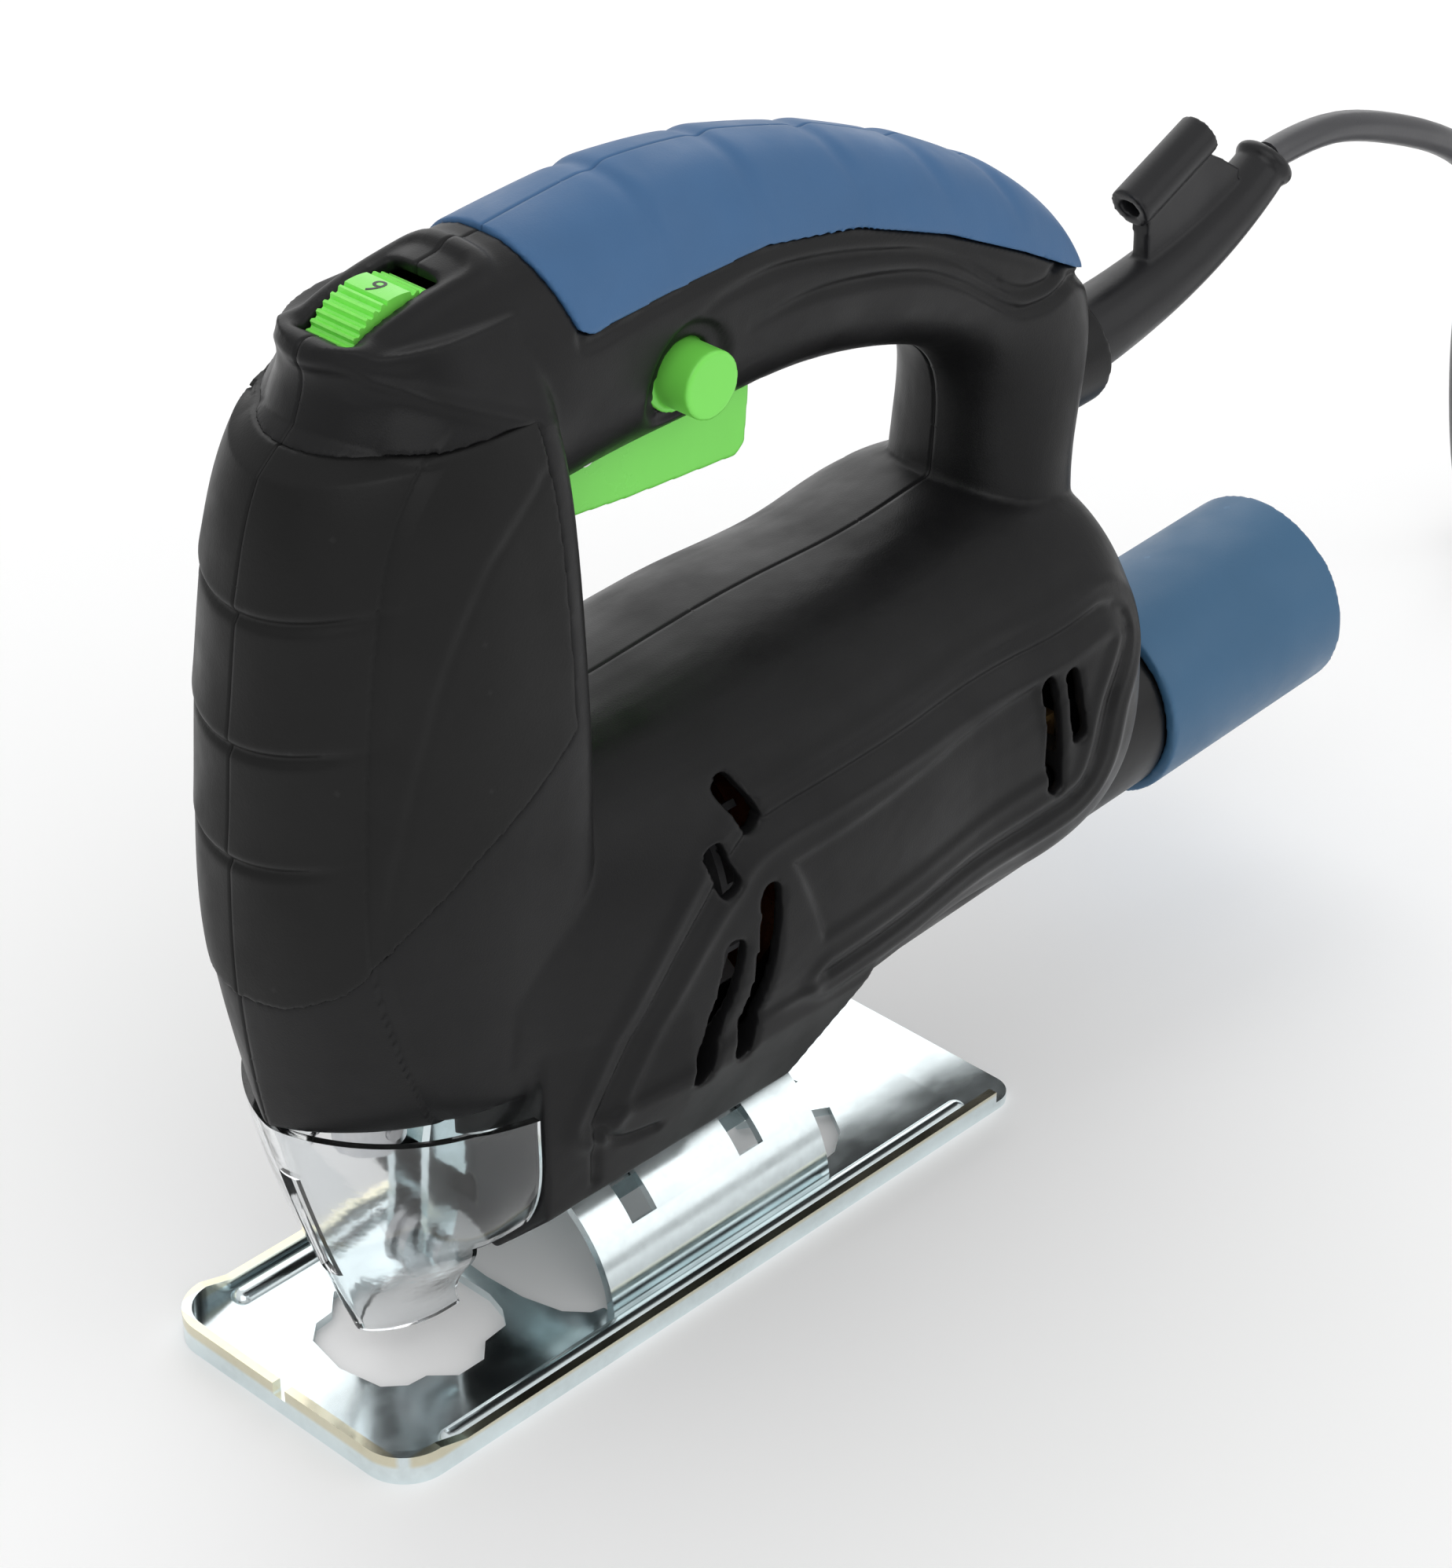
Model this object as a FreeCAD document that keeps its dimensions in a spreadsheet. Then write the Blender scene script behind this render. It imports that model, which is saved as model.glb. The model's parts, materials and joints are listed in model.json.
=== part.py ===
import FreeCAD, Part
import math
import os
import re
from types import SimpleNamespace

from FreeCAD import Placement, Rotation, Vector

# Corded jigsaw, millimetres. -X is the cutting direction (nose), +X the rear, +Z up and -Y the
# operator's left. The parts are modelled about the middle of the sole; `node` then moves each one
# so that the origin is under the centre of the whole tool, in the plane the sole stands on.

SIZES = {
    # whole tool
    "origin_shift": 54.95,       # from the middle of the sole to the middle of the tool
    "wall": 3.0,                # moulded wall thickness
    "skin": 1.6,                # depth of the soft pads let into the housing
    "proud": 0.5,               # height of the soft pads above the housing
    # sole and arch
    "sole_length": 158.0,
    "sole_width": 64.0,
    "sheet": 1.8,
    "side_rim": 4.2,
    "front_rim": 5.9,
    "sole_corner": 9.0,
    "arch_radius": 24.5,
    "arch_front": -21.5,
    "arch_length": 56.0,
    "seat_gap": 0.3,
    "bead_offset": 27.6,
    "bead_radius": 2.4,
    "clamp_screw_radius": 2.5,
    "clamp_screw_a": -9.0,
    "clamp_screw_b": 18.5,
    "bevel_slot_angle": 54.0,
    # motor
    "motor_height": 76.0,
    "shaft_radius": 4.0,
    "journal_radius": 3.0,
    "stator_radius": 31.0,
    "stator_bore": 19.0,
    "armature_radius": 18.4,
    "stack_front": 24.0,
    "stack_length": 38.0,
    "commutator_radius": 11.0,
    "commutator_front": 78.0,
    "commutator_length": 13.0,
    "fan_radius": 29.0,
    "fan_front": 3.0,
    "fan_length": 9.0,
    "bearing_outer": 9.5,
    "bearing_width": 6.0,
    "running_gap": 0.04,
    # gears and plunger
    "gear_module": 0.8,
    "pinion_teeth": 9.0,
    "gear_teeth": 60.0,
    "gear_face": 7.0,
    "gear_back": -33.0,
    "crank_throw": 10.0,
    "crank_pin_radius": 3.4,
    "plunger_axis": -55.0,
    "plunger_radius": 4.0,
    "plunger_bottom": 58.0,
    "plunger_length": 110.0,
    "yoke_gap": 0.4,
    # guide roller
    "roller_x": -45.0,
    "roller_height": 20.5,
    "roller_radius": 6.0,
    "roller_width": 5.0,
    "axle_radius": 1.75,
    # controls
    "dial_x": -42.3,
    "dial_height": 190.4,
    "dial_radius": 13.0,
    "dial_width": 10.0,
    "button_x": 9.0,
    "button_height": 174.6,
    "button_radius": 6.0,
    "button_face": -21.5,
    "trigger_pivot_x": -10.5,
    "trigger_pivot_height": 166.0,
    "trigger_width": 15.0,
    # dust port
    "port_slope": 3.0,          # degrees, rising to the rear
    "port_x": 189.5,
    "port_height": 53.8,
    "tube_length": 53.0,
    "tube_radius": 20.9,
    "tube_bore": 18.0,
    "collar_radius": 19.0,
    "collar_bore": 15.5,
    # cord
    "cord_radius": 3.1,
}

doc = FreeCAD.newDocument("jigsaw")
sheet = doc.addObject("Spreadsheet::Sheet", "Dimensions")
for row, (alias, value) in enumerate(SIZES.items(), start=1):
    sheet.set(f"A{row}", alias)
    sheet.set(f"B{row}", str(value))
    sheet.setAlias(f"B{row}", alias)
doc.recompute()
dim = SimpleNamespace(**{alias: float(sheet.get(alias)) for alias in SIZES})

X, Y, Z = Vector(1, 0, 0), Vector(0, 1, 0), Vector(0, 0, 1)
TURN = {"x": Rotation(Z, X), "y": Rotation(Z, Y), "z": Rotation()}
nodes = []


# ---------------------------------------------------------------- building blocks

def bind(obj, **formulas):
    """Bind each property of obj to a formula over the sheet's aliases."""
    def link(match):
        word = match.group()
        return f"Dimensions.{word}" if word in SIZES else word

    for prop, formula in formulas.items():
        obj.setExpression(prop, re.sub(r"[a-z][a-z_]*", link, formula))
    return obj


def rod(name, radius, length, at=(0, 0, 0), along="x"):
    """Cylinder from the point `at`, its radius and length given as formulas."""
    obj = bind(doc.addObject("Part::Cylinder", name), Radius=radius, Height=length)
    obj.Placement = Placement(Vector(*at), TURN[along])
    return obj


def box(name, length, width, height, at=(0, 0, 0)):
    """Box centred on `at` in X and Y and standing on it in Z."""
    obj = bind(doc.addObject("Part::Box", name), Length=length, Width=width, Height=height)
    doc.recompute([obj])
    corner = Vector(-obj.Length.Value / 2, -obj.Width.Value / 2, 0)
    obj.Placement = Placement(Vector(*at) + corner, Rotation())
    return obj


def fuse(name, *parts):
    obj = doc.addObject("Part::MultiFuse", name)
    obj.Shapes = list(parts)
    return obj


def cut(name, base, *tools):
    obj = doc.addObject("Part::Cut", name)
    obj.Base = base
    obj.Tool = tools[0] if len(tools) == 1 else fuse(name + "_tools", *tools)
    return obj


def group(name, *parts):
    """Separate solids of the same kind, kept as one object."""
    obj = doc.addObject("Part::Compound", name)
    obj.Links = list(parts)
    return obj


def feature(name, shape):
    obj = doc.addObject("Part::Feature", name)
    obj.Shape = shape
    return obj


def ring(name, outer, inner, length, at=(0, 0, 0), along="x"):
    return cut(name, rod(name + "_outer", outer, length, at, along),
               rod(name + "_bore", inner, length, at, along))


def node(label, obj):
    """Name a finished piece and move it from the sole's frame to the tool's frame."""
    obj.Label = label
    obj.Placement = Placement(Vector(-dim.origin_shift, 0, 0), Rotation()) * obj.Placement
    nodes.append(obj)
    return obj


def prism(points, depth, middle=0.0):
    """Solid on an outline of (x, z) points, `depth` thick in Y about y = middle."""
    corners = [Vector(px, middle - depth / 2, pz) for px, pz in points]
    return Part.Face(Part.makePolygon(corners + corners[:1])).extrude(Vector(0, depth, 0))


def both_sides(shape):
    """A shape together with its mirror image across the centre plane."""
    return shape.fuse(shape.mirror(Vector(0, 0, 0), Y))


def smooth_loop(points):
    """Closed smooth wire through the points."""
    curve = Part.BSplineCurve()
    curve.interpolate(points, PeriodicFlag=True)
    return Part.Wire([curve.toShape()])


def loft(wires):
    return Part.makeLoft(wires, True, False)


def power(value, exponent):
    return math.copysign(abs(value) ** exponent, value)


def squircle(steps=32):
    """Angles round a section, as pairs of cosine and sine."""
    return [(math.cos(2 * math.pi * i / steps), math.sin(2 * math.pi * i / steps))
            for i in range(steps)]


# ---------------------------------------------------------------- moulded body, outer forms

# Nose: level sections, each (height, front, half width, point). The front of a section is half an
# ellipse where point is 1 and more pointed above that; behind NOSE_SIDE it runs straight back to a
# nearly flat rear wall.
NOSE_SIDE = -38.0
NOSE_REAR = -22.5
NOSE_SECTIONS = [
    (61.0, -76.6, 25.0, 1.5), (70.0, -78.2, 26.6, 1.35), (82.0, -79.6, 27.8, 1.15),
    (94.0, -80.2, 28.8, 1.0), (116.0, -79.4, 29.8, 1.0), (138.0, -77.4, 29.4, 1.0),
    (160.0, -74.2, 28.0, 1.0), (176.0, -70.0, 25.4, 1.0), (187.0, -63.6, 21.2, 1.0),
    (198.5, -59.0, 15.8, 1.0),
]
# Barrel round the motor: upright sections, each (x, centre height, half height, half width).
BARREL_SECTIONS = [
    (-44.0, 82.0, 37.0, 27.5), (-30.0, 79.0, 37.4, 31.0), (-12.0, 77.0, 38.5, 35.4),
    (8.0, 76.6, 40.0, 38.4), (45.0, 78.0, 40.2, 39.4), (86.0, 80.0, 40.4, 39.2),
    (101.0, 80.8, 39.0, 37.4), (109.0, 81.2, 35.0, 33.0), (113.0, 81.3, 27.0, 25.0),
]
# Handle: sections fanned round the grip, each (ridge x, ridge z, underside x, z, half width).
HANDLE_SECTIONS = [
    (-59.5, 189.5, -46.0, 150.0, 15.6), (-52.0, 200.0, -34.0, 156.0, 18.6),
    (-24.0, 205.4, -18.0, 159.5, 19.2), (4.0, 207.8, 4.0, 160.0, 17.4),
    (30.0, 205.4, 28.0, 160.0, 16.4), (56.0, 198.2, 50.0, 158.8, 16.2),
    (84.0, 186.0, 72.0, 153.2, 16.6), (106.0, 171.2, 83.0, 147.0, 17.0),
    (117.5, 154.0, 87.0, 139.0, 17.4), (117.0, 136.0, 87.0, 128.0, 17.6),
    (114.0, 116.0, 86.0, 116.0, 18.0), (112.0, 100.0, 84.0, 100.0, 18.4),
]


def nose_form(inset=0.0):
    """Nose body, or the same body drawn in by `inset` all round."""
    wires = []
    for height, front, half_width, point in NOSE_SECTIONS:
        reach = NOSE_SIDE - front - inset
        side, rear = half_width - inset, NOSE_REAR - NOSE_SIDE - inset
        points = []
        for across, along in squircle(40):
            if along < 0:
                points.append(Vector(NOSE_SIDE + reach * along, side * power(across, point), height))
            else:
                points.append(Vector(NOSE_SIDE + rear * power(along, 0.4),
                                     side * power(across, 0.45), height))
        wires.append(smooth_loop(points))
    return loft(wires)


def barrel_form(inset=0.0):
    wires = []
    for x, middle, half_height, half_width in BARREL_SECTIONS:
        wires.append(smooth_loop([
            Vector(x, (half_width - inset) * power(c, 0.88),
                   middle + (half_height - inset) * power(s, 0.88))
            for c, s in squircle()]))
    return loft(wires)


def handle_form(inset=0.0):
    wires = []
    for ridge_x, ridge_z, under_x, under_z, half_width in HANDLE_SECTIONS:
        ridge, under = Vector(ridge_x, 0, ridge_z), Vector(under_x, 0, under_z)
        middle, half = (ridge + under) / 2, (ridge - under) / 2
        half = half * (1 - inset / half.Length)
        wires.append(smooth_loop([
            middle + half * power(s, 0.92) + Y * ((half_width - inset) * power(c, 0.85))
            for c, s in squircle()]))
    return loft(wires)


def port_direction():
    slope = math.radians(dim.port_slope)
    return Vector(math.cos(slope), 0, math.sin(slope))


def along_port(name, radius, start, length):
    """Cylinder on the dust port's axis, from `start` mm ahead of the tube's rear end."""
    end = Vector(dim.port_x, 0, dim.port_height) - port_direction() * start
    obj = bind(doc.addObject("Part::Cylinder", name), Radius=radius, Height=length)
    obj.Placement = Placement(end, Rotation(Z, port_direction()))
    return obj


def port_cylinder(radius, start, length):
    end = Vector(dim.port_x, 0, dim.port_height) - port_direction() * start
    return Part.makeCylinder(radius, length, end, port_direction())


def slab(low, high):
    """Box between two opposite corners."""
    low, high = Vector(*low), Vector(*high)
    size = high - low
    return Part.makeBox(size.x, size.y, size.z, low)


def across(radius, x, height, low, high):
    """Cylinder along Y between y = low and y = high."""
    return Part.makeCylinder(radius, high - low, Vector(x, low, height), Y)


# ---------------------------------------------------------------- housing

SEAT = dim.arch_radius + dim.seat_gap
COLLAR_START = 84.0         # front end of the dust collar, from the rear end of the tube
# Centre line of the cord's boot: start, control point and end of a parabola.
CORD_CURVE = [Vector(112, 0, 132.5), Vector(158, 0, 134.5), Vector(182.5, 0, 152)]
# The foot over the arch: upright sections, each x and then (y, z) corners of the left half. Its
# flanks stay clear of the tilted sole.
FOOT_SECTIONS = [
    (-39.5, [(13.4, 21.0), (27.4, 34.4), (28.0, 50.0), (27.6, 70.0)]),
    (-10.0, [(13.4, 21.0), (28.6, 35.6), (34.4, 52.0), (35.4, 74.0)]),
    (36.0, [(13.4, 21.0), (28.6, 35.6), (34.8, 52.0), (36.0, 74.0)]),
]
# Side view regions, as (x, z) outlines.
NOSE_PAD_OUTLINE = [(-90, 184), (-31, 184), (-31, 131), (-37, 126), (-51, 116), (-64, 104),
                    (-72, 94), (-78, 90), (-90, 90)]
GRIP_OUTLINE = [(-22, 220), (-20.5, 204), (-16.5, 192), (-14, 190.8), (5, 191.3), (28, 191),
                (50, 186.6), (72, 178), (92, 168), (108, 159), (119, 153.5), (123, 156),
                (140, 175), (140, 220)]
# Housing screws, each (x, z, half width of the housing there).
SCREWS = [(-68.5, 106, 18.5), (-64.5, 156, 18.5), (-23, 181, 17.0), (46, 181, 15.5),
          (103, 158, 16.0), (90, 110, 24.0), (84, 46, 24.0), (-16, 52, 30.0)]
SCREW_SHANK, SCREW_HEAD, BOSS = 1.6, 3.2, 4.4


def boot_point(part):
    """Point and direction on the boot's centre line, part from 0 at its start to 1 at its end."""
    start, control, end = CORD_CURVE
    point = start * (1 - part) ** 2 + control * (2 * part * (1 - part)) + end * part ** 2
    return point, ((control - start) * (1 - part) + (end - control) * part).normalize()


def vent_slots():
    """Openings through the side walls, drawn on the left and mirrored."""
    width = 4.2
    slots = [[(6.6, 84), (5.0, 67), (2.4, 52)], [(-0.8, 76), (-3.2, 63), (-7.4, 51.5)],
             [(2.6, 104.5), (5.6, 97)], [(-4.2, 96), (-1.4, 88)],
             [(79.6, 93.5), (80.6, 72)], [(85.4, 93), (86.2, 81)]]
    shapes = []
    for path in slots:
        for (x1, z1), (x2, z2) in zip(path, path[1:]):
            half = width / 2 if x1 < 60 else width / 3
            shapes.append(prism([(x1 - half, z1), (x1 + half, z1), (x2 + half, z2), (x2 - half, z2)],
                                20, middle=-38))
    return both_sides(shapes[0].fuse(shapes[1:]))


def outer_body():
    wires = []
    for sx, corners in FOOT_SECTIONS:
        points = [Vector(sx, py, pz) for py, pz in corners]
        points += [Vector(sx, -py, pz) for py, pz in reversed(corners)]
        wires.append(Part.makePolygon(points + points[:1]))
    foot = Part.makeLoft(wires, True, True)
    rear_cut = prism([(4, 15), (19, 34.7), (31.3, 49), (40, 60), (60, 60), (60, 15)], 90)
    duct = port_cylinder(dim.tube_radius - 1, 160, 78)
    neck = Part.makeCylinder(11.4, 16, CORD_CURVE[0] - X * 4, boot_point(0)[1])
    body = nose_form().fuse([barrel_form(), handle_form(), foot.cut(rear_cut), duct, neck])
    seat = Part.makeCylinder(SEAT, 100, Vector(-60, 0, 0), X)
    return body.cut(seat)


def cavities():
    """Everything that is hollow inside the shells."""
    nose = nose_form(dim.wall).common(slab((-90, -40, 64), (0, 40, 186)))
    barrel = barrel_form(dim.wall).common(slab((-41, -45, 30), (106.5, 45, 130)))
    handle = handle_form(dim.wall).common(slab((-50, -30, 112), (122, 30, 210)))
    gear_pocket = Part.makeCylinder(26, 12.5, Vector(-44, 0, gear_height), X)
    channel = port_cylinder(17.4, 160, 77).common(slab((20, -30, 20), (110, 30, 36)))
    mouth = port_cylinder(dim.collar_bore, 96, 13)
    tunnel = slab((-45, -9, 28.5), (40, 9, 35))
    collar = port_cylinder(dim.collar_radius + 0.02, COLLAR_START, 60)
    return [nose, barrel, handle, gear_pocket, channel, mouth, tunnel, collar]


def openings():
    """Windows for the parts that pass through the shells."""
    dial = across(dim.dial_radius + 1.2, dim.dial_x, dim.dial_height, -5.6, 5.6)
    window = slab((-53, -5.6, 190), (-34.5, 5.6, 215))
    trigger = slab((-15.5, -8.2, 140), (33.5, 8.2, 178))
    button = across(dim.button_radius + 0.3, dim.button_x, dim.button_height, -30, -10)
    plunger = Part.makeCylinder(7.0, 20, Vector(dim.plunger_axis, 0, 58), Z)
    bracket = slab((-44.5, -9.2, 30), (-39.5, 9.2, 57.2))
    button_pocket = across(dim.button_radius + 1.6, dim.button_x, dim.button_height, -13.8, -8.5)
    pivot = across(2.02, dim.trigger_pivot_x, dim.trigger_pivot_height, -12.1, 12.1)
    boot_start, boot_axis = boot_point(0)
    boot = Part.makeCylinder(8.5, 22, boot_start - boot_axis * 6, boot_axis)
    screws = [Part.makeCylinder(dim.clamp_screw_radius + 0.05, 20, Vector(sx, 0, 20), Z)
              for sx in (dim.clamp_screw_a, dim.clamp_screw_b)]
    return [dial, window, trigger, button, button_pocket, pivot, plunger, bracket, boot,
            vent_slots()] + screws


def supports():
    """Walls, rings and bosses moulded inside the shells."""
    def holder(outer, bore, start, length, height):
        base = Vector(start, 0, height)
        return Part.makeCylinder(outer, length, base, X).cut(
            Part.makeCylinder(bore, length, base, X))

    upper = slab((-70, -28, 138), (-42, 28, 146)).cut(
        Part.makeCylinder(7, 8, Vector(dim.plunger_axis, 0, 138), Z))
    lower = Part.makeCylinder(10.5, 13, Vector(dim.plunger_axis, 0, 63), Z).cut(
        Part.makeCylinder(7, 13, Vector(dim.plunger_axis, 0, 63), Z))
    seats = [holder(40, dim.stator_radius + 0.05, sx, 4, dim.motor_height) for sx in (28, 54)]
    rear = holder(14, dim.bearing_outer + 0.02, 97, 6, dim.motor_height)
    web = slab((98, -36, 73.5), (102, 36, 78.5)).cut(
        Part.makeCylinder(12, 10, Vector(95, 0, dim.motor_height), X))
    brush_rib = slab((81, -39, 74), (87, 39, 78)).cut(slab((79, -30, 70), (89, 30, 82)))
    bosses = [across(BOSS, sx, sz, -half, half) for sx, sz, half in SCREWS]
    return [upper, lower, rear, web, brush_rib] + seats + bosses


def screw_holes():
    shapes = []
    for sx, sz, half in SCREWS:
        head = half - 3.0
        shapes.append(across(SCREW_SHANK, sx, sz, head - 26, head))
        shapes.append(across(SCREW_HEAD + 0.2, sx, sz, head, half + 12))
    return shapes


gear_ratio = dim.pinion_teeth / dim.gear_teeth
gear_height = dim.motor_height + dim.gear_module * (dim.pinion_teeth + dim.gear_teeth) / 2

# The left half is made first and the right one is its mirror image; the windows, which differ from
# side to side, are cut last.
left_half = slab((-120, -60, 0), (160, 0, 240))
outer = outer_body().common(left_half)
shell = outer.cut(cavities())
shell = shell.fuse([part.common(outer) for part in supports()])

nose_band = nose_form(-dim.proud).common(prism(NOSE_PAD_OUTLINE, 120)).cut(nose_form(dim.skin))
grip_band = handle_form(-dim.proud).common(prism(GRIP_OUTLINE, 120)).cut(handle_form(dim.skin))
nose_band, grip_band = nose_band.common(left_half), grip_band.common(left_half)
shell = shell.cut([nose_band, grip_band])
windows = openings() + screw_holes()
pad_windows = [across(SCREW_HEAD + 0.2, sx, sz, half - 3, half + 12) for sx, sz, half in SCREWS[:2]]

for label, shape, cutters in (("housing", shell, windows), ("nose_pad", nose_band, pad_windows),
                              ("grip", grip_band, [])):
    for side, half in (("left", shape), ("right", shape.mirror(Vector(0, 0, 0), Y))):
        piece = half.cut(cutters) if cutters else half
        largest = max(piece.Solids, key=lambda s: s.Volume)
        node(f"{side}_{label}", feature(f"{side}_{label}", largest))

screws = []
for sx, sz, half in SCREWS:
    head = half - 3.0
    screw = across(SCREW_SHANK - 0.05, sx, sz, head - 25, head).fuse(
        across(SCREW_HEAD, sx, sz, head, head + 2.2))
    for turn in (0, 90):
        blade = slab((-2, -1.2, -0.4), (2, 0, 0.4))
        blade.rotate(Vector(0, 0, 0), Y, turn)
        blade.translate(Vector(sx, head + 2.2, sz))
        screw = screw.cut(blade)
    screws.append(screw)
node("housing_screws", feature("housing_screws", Part.makeCompound(screws)))

# ---------------------------------------------------------------- motor

def on_motor(name, radius, length, start):
    """Cylinder on the motor's axis, from x = start."""
    return rod(name, radius, length, (start, 0, dim.motor_height))


stack_end = dim.stack_front + dim.stack_length
slots_in_core = []
for i in range(12):
    slot = slab((dim.stack_front, -0.9, 11.0), (stack_end, 0.9, 19.0))
    slot.rotate(Vector(0, 0, 0), X, 30 * i)
    slot.translate(Vector(0, 0, dim.motor_height))
    slots_in_core.append(slot)
node("stator_core", ring("stator_core", "stator_radius", "stator_bore", "stack_length",
                         (dim.stack_front, 0, dim.motor_height)))
node("armature_core", cut("armature_core",
                          ring("armature_stack", "armature_radius", "shaft_radius", "stack_length",
                               (dim.stack_front, 0, dim.motor_height)),
                          feature("armature_slots", slots_in_core[0].fuse(slots_in_core[1:]))))
coil_rings = [ring(f"coil_{end}", "stator_bore + 10", "stator_bore + 1", "7",
                   (start, 0, dim.motor_height))
              for end, start in (("front", dim.stack_front - 7), ("rear", stack_end))]
gap_wall = box("coil_gap", "100", "80", "6", (40, 0, dim.motor_height - 3))
node("field_coils", group("field_coils", *[cut(f"{c.Name}_halves", c, gap_wall) for c in coil_rings]))
node("armature_windings", group(
    "armature_windings",
    ring("winding_front", "armature_radius - 1.4", "shaft_radius", "8",
         (dim.stack_front - 8, 0, dim.motor_height)),
    ring("winding_rear", "armature_radius - 1.4", "shaft_radius", "11",
         (stack_end, 0, dim.motor_height))))
bars = []
for i in range(24):
    groove = slab((dim.commutator_front, -0.25, 10.2), (dim.commutator_front + 11, 0.25, 12))
    groove.rotate(Vector(0, 0, 0), X, 15 * i)
    groove.translate(Vector(0, 0, dim.motor_height))
    bars.append(groove)
node("commutator", cut("commutator",
                       ring("commutator_ring", "commutator_radius", "shaft_radius",
                            "commutator_length", (dim.commutator_front, 0, dim.motor_height)),
                       feature("commutator_grooves", bars[0].fuse(bars[1:]))))
node("motor_shaft", fuse(
    "motor_shaft",
    on_motor("shaft_front", "journal_radius", "8", dim.gear_back),
    on_motor("shaft_middle", "shaft_radius", "121", dim.gear_back + 8),
    on_motor("shaft_rear", "journal_radius", "8", 96)))
blades = []
for i in range(14):
    blade = slab((dim.fan_front + 1.4, -0.7, 12), (dim.fan_front + dim.fan_length, 0.7, dim.fan_radius))
    blade.rotate(Vector(0, 0, 0), X, 360 / 14 * i)
    blade.translate(Vector(0, 0, dim.motor_height))
    blades.append(blade)
node("fan", cut("fan",
                fuse("fan_solid", on_motor("fan_disc", "fan_radius", "1.5", dim.fan_front),
                     on_motor("fan_hub", "shaft_radius + 4", "fan_length", dim.fan_front),
                     feature("fan_blades", blades[0].fuse(blades[1:]))),
                on_motor("fan_bore", "shaft_radius", "fan_length", dim.fan_front)))
for label, start in (("front_bearing", -31.0), ("rear_bearing", 97.0)):
    node(label, ring(label, "bearing_outer", "journal_radius + running_gap", "bearing_width",
                     (start, 0, dim.motor_height)))

holders, brushes = [], []
for side, sign in (("left", -1), ("right", 1)):
    holders.append(cut(
        f"brush_holder_{side}",
        box(f"holder_outer_{side}", "9", "17", "11", (84, sign * 21.5, dim.motor_height - 5.5)),
        box(f"holder_bore_{side}", "6.6", "17", "8.6", (84, sign * 21.5, dim.motor_height - 4.3))))
    brushes.append(box(f"brush_{side}", "6.4", "15", "8.4", (84, sign * 18.8, dim.motor_height - 4.2)))
node("brush_holders", group("brush_holders", *holders))
node("carbon_brushes", group("carbon_brushes", *brushes))


# ---------------------------------------------------------------- gears, crank and plunger

def gear_blank(teeth, face, phase=0.0):
    """Spur gear along +X from x = 0: trapezoid teeth, slightly thin so that a pair runs free."""
    pitch = dim.gear_module * teeth / 2
    tip, root = pitch + 0.8 * dim.gear_module, pitch - 1.05 * dim.gear_module
    corners = []
    for i in range(int(teeth)):
        for radius, share in ((root, -0.37), (tip, -0.13), (tip, 0.13), (root, 0.37)):
            angle = 2 * math.pi * (i + phase + share) / teeth
            corners.append(Vector(0, radius * math.sin(angle), radius * math.cos(angle)))
    return Part.Face(Part.makePolygon(corners + corners[:1])).extrude(X * face)


# The gear above has a tooth gap where the pinion below has a tooth.
pinion = feature("pinion", gear_blank(dim.pinion_teeth, dim.gear_face))
pinion.Placement.Base = Vector(dim.gear_back - dim.gear_face, 0, dim.motor_height)
node("pinion", pinion)
gear_bore = Part.makeCylinder(dim.shaft_radius, 20, Vector(-5, 0, 0), X)
drive_gear = feature("drive_gear", gear_blank(dim.gear_teeth, dim.gear_face, 0.5).cut(gear_bore))
drive_gear.Placement.Base = Vector(dim.gear_back - dim.gear_face, 0, gear_height)
node("drive_gear", drive_gear)

gear_front = dim.gear_back - dim.gear_face
node("gear_shaft", rod("gear_shaft", "shaft_radius", "20", (gear_front, 0, gear_height)))
node("gear_bush", ring("gear_bush", "shaft_radius + 2.5", "shaft_radius + running_gap", "6",
                       (-31, 0, gear_height)))
plate = barrel_form(dim.wall + 0.2).common(slab((-31, -40, 40), (-25.5, 40, 120)))
plate = plate.cut([Part.makeCylinder(dim.bearing_outer, 8, Vector(-32, 0, dim.motor_height), X),
                   Part.makeCylinder(dim.shaft_radius + 2.5, 8, Vector(-32, 0, gear_height), X)])
node("bearing_plate", feature("bearing_plate", plate))

weight = cut("counterweight",
             ring("weight_ring", "21", "7", "3", (gear_front - 3, 0, gear_height)),
             box("weight_top", "10", "60", "40", (gear_front, 0, gear_height - 3)))
node("counterweight", weight)
node("crank_pin", rod("crank_pin", "crank_pin_radius", "6.2",
                      (gear_front - 6.2, 0, gear_height + dim.crank_throw)))

yoke_height = gear_height + dim.crank_throw
yoke_back = gear_front - 6.2 - dim.yoke_gap
yoke_plate = box("yoke_plate", "4", "33", "15", (yoke_back - 2, 0, yoke_height - 7.5))
yoke_slot = fuse("yoke_slot", box("slot_middle", "4", "20", "7.6", (yoke_back - 2, 0, yoke_height - 3.8)),
                 rod("slot_left", "3.8", "4", (yoke_back - 4, -10, yoke_height)),
                 rod("slot_right", "3.8", "4", (yoke_back - 4, 10, yoke_height)))
yoke_boss = box("yoke_boss", "10.2", "13", "15", (yoke_back - 9.1, 0, yoke_height - 7.5))
yoke_bore = rod("yoke_bore", "plunger_radius", "15", (dim.plunger_axis, 0, yoke_height - 7.5), "z")
node("scotch_yoke", cut("scotch_yoke", fuse("yoke_solid", yoke_plate, yoke_boss),
                        fuse("yoke_openings", yoke_slot, yoke_bore)))
node("plunger_rod", rod("plunger_rod", "plunger_radius", "plunger_length",
                        (dim.plunger_axis, 0, dim.plunger_bottom), "z"))
node("upper_bush", ring("upper_bush", "7", "plunger_radius + running_gap", "8",
                        (dim.plunger_axis, 0, 138), "z"))
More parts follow.
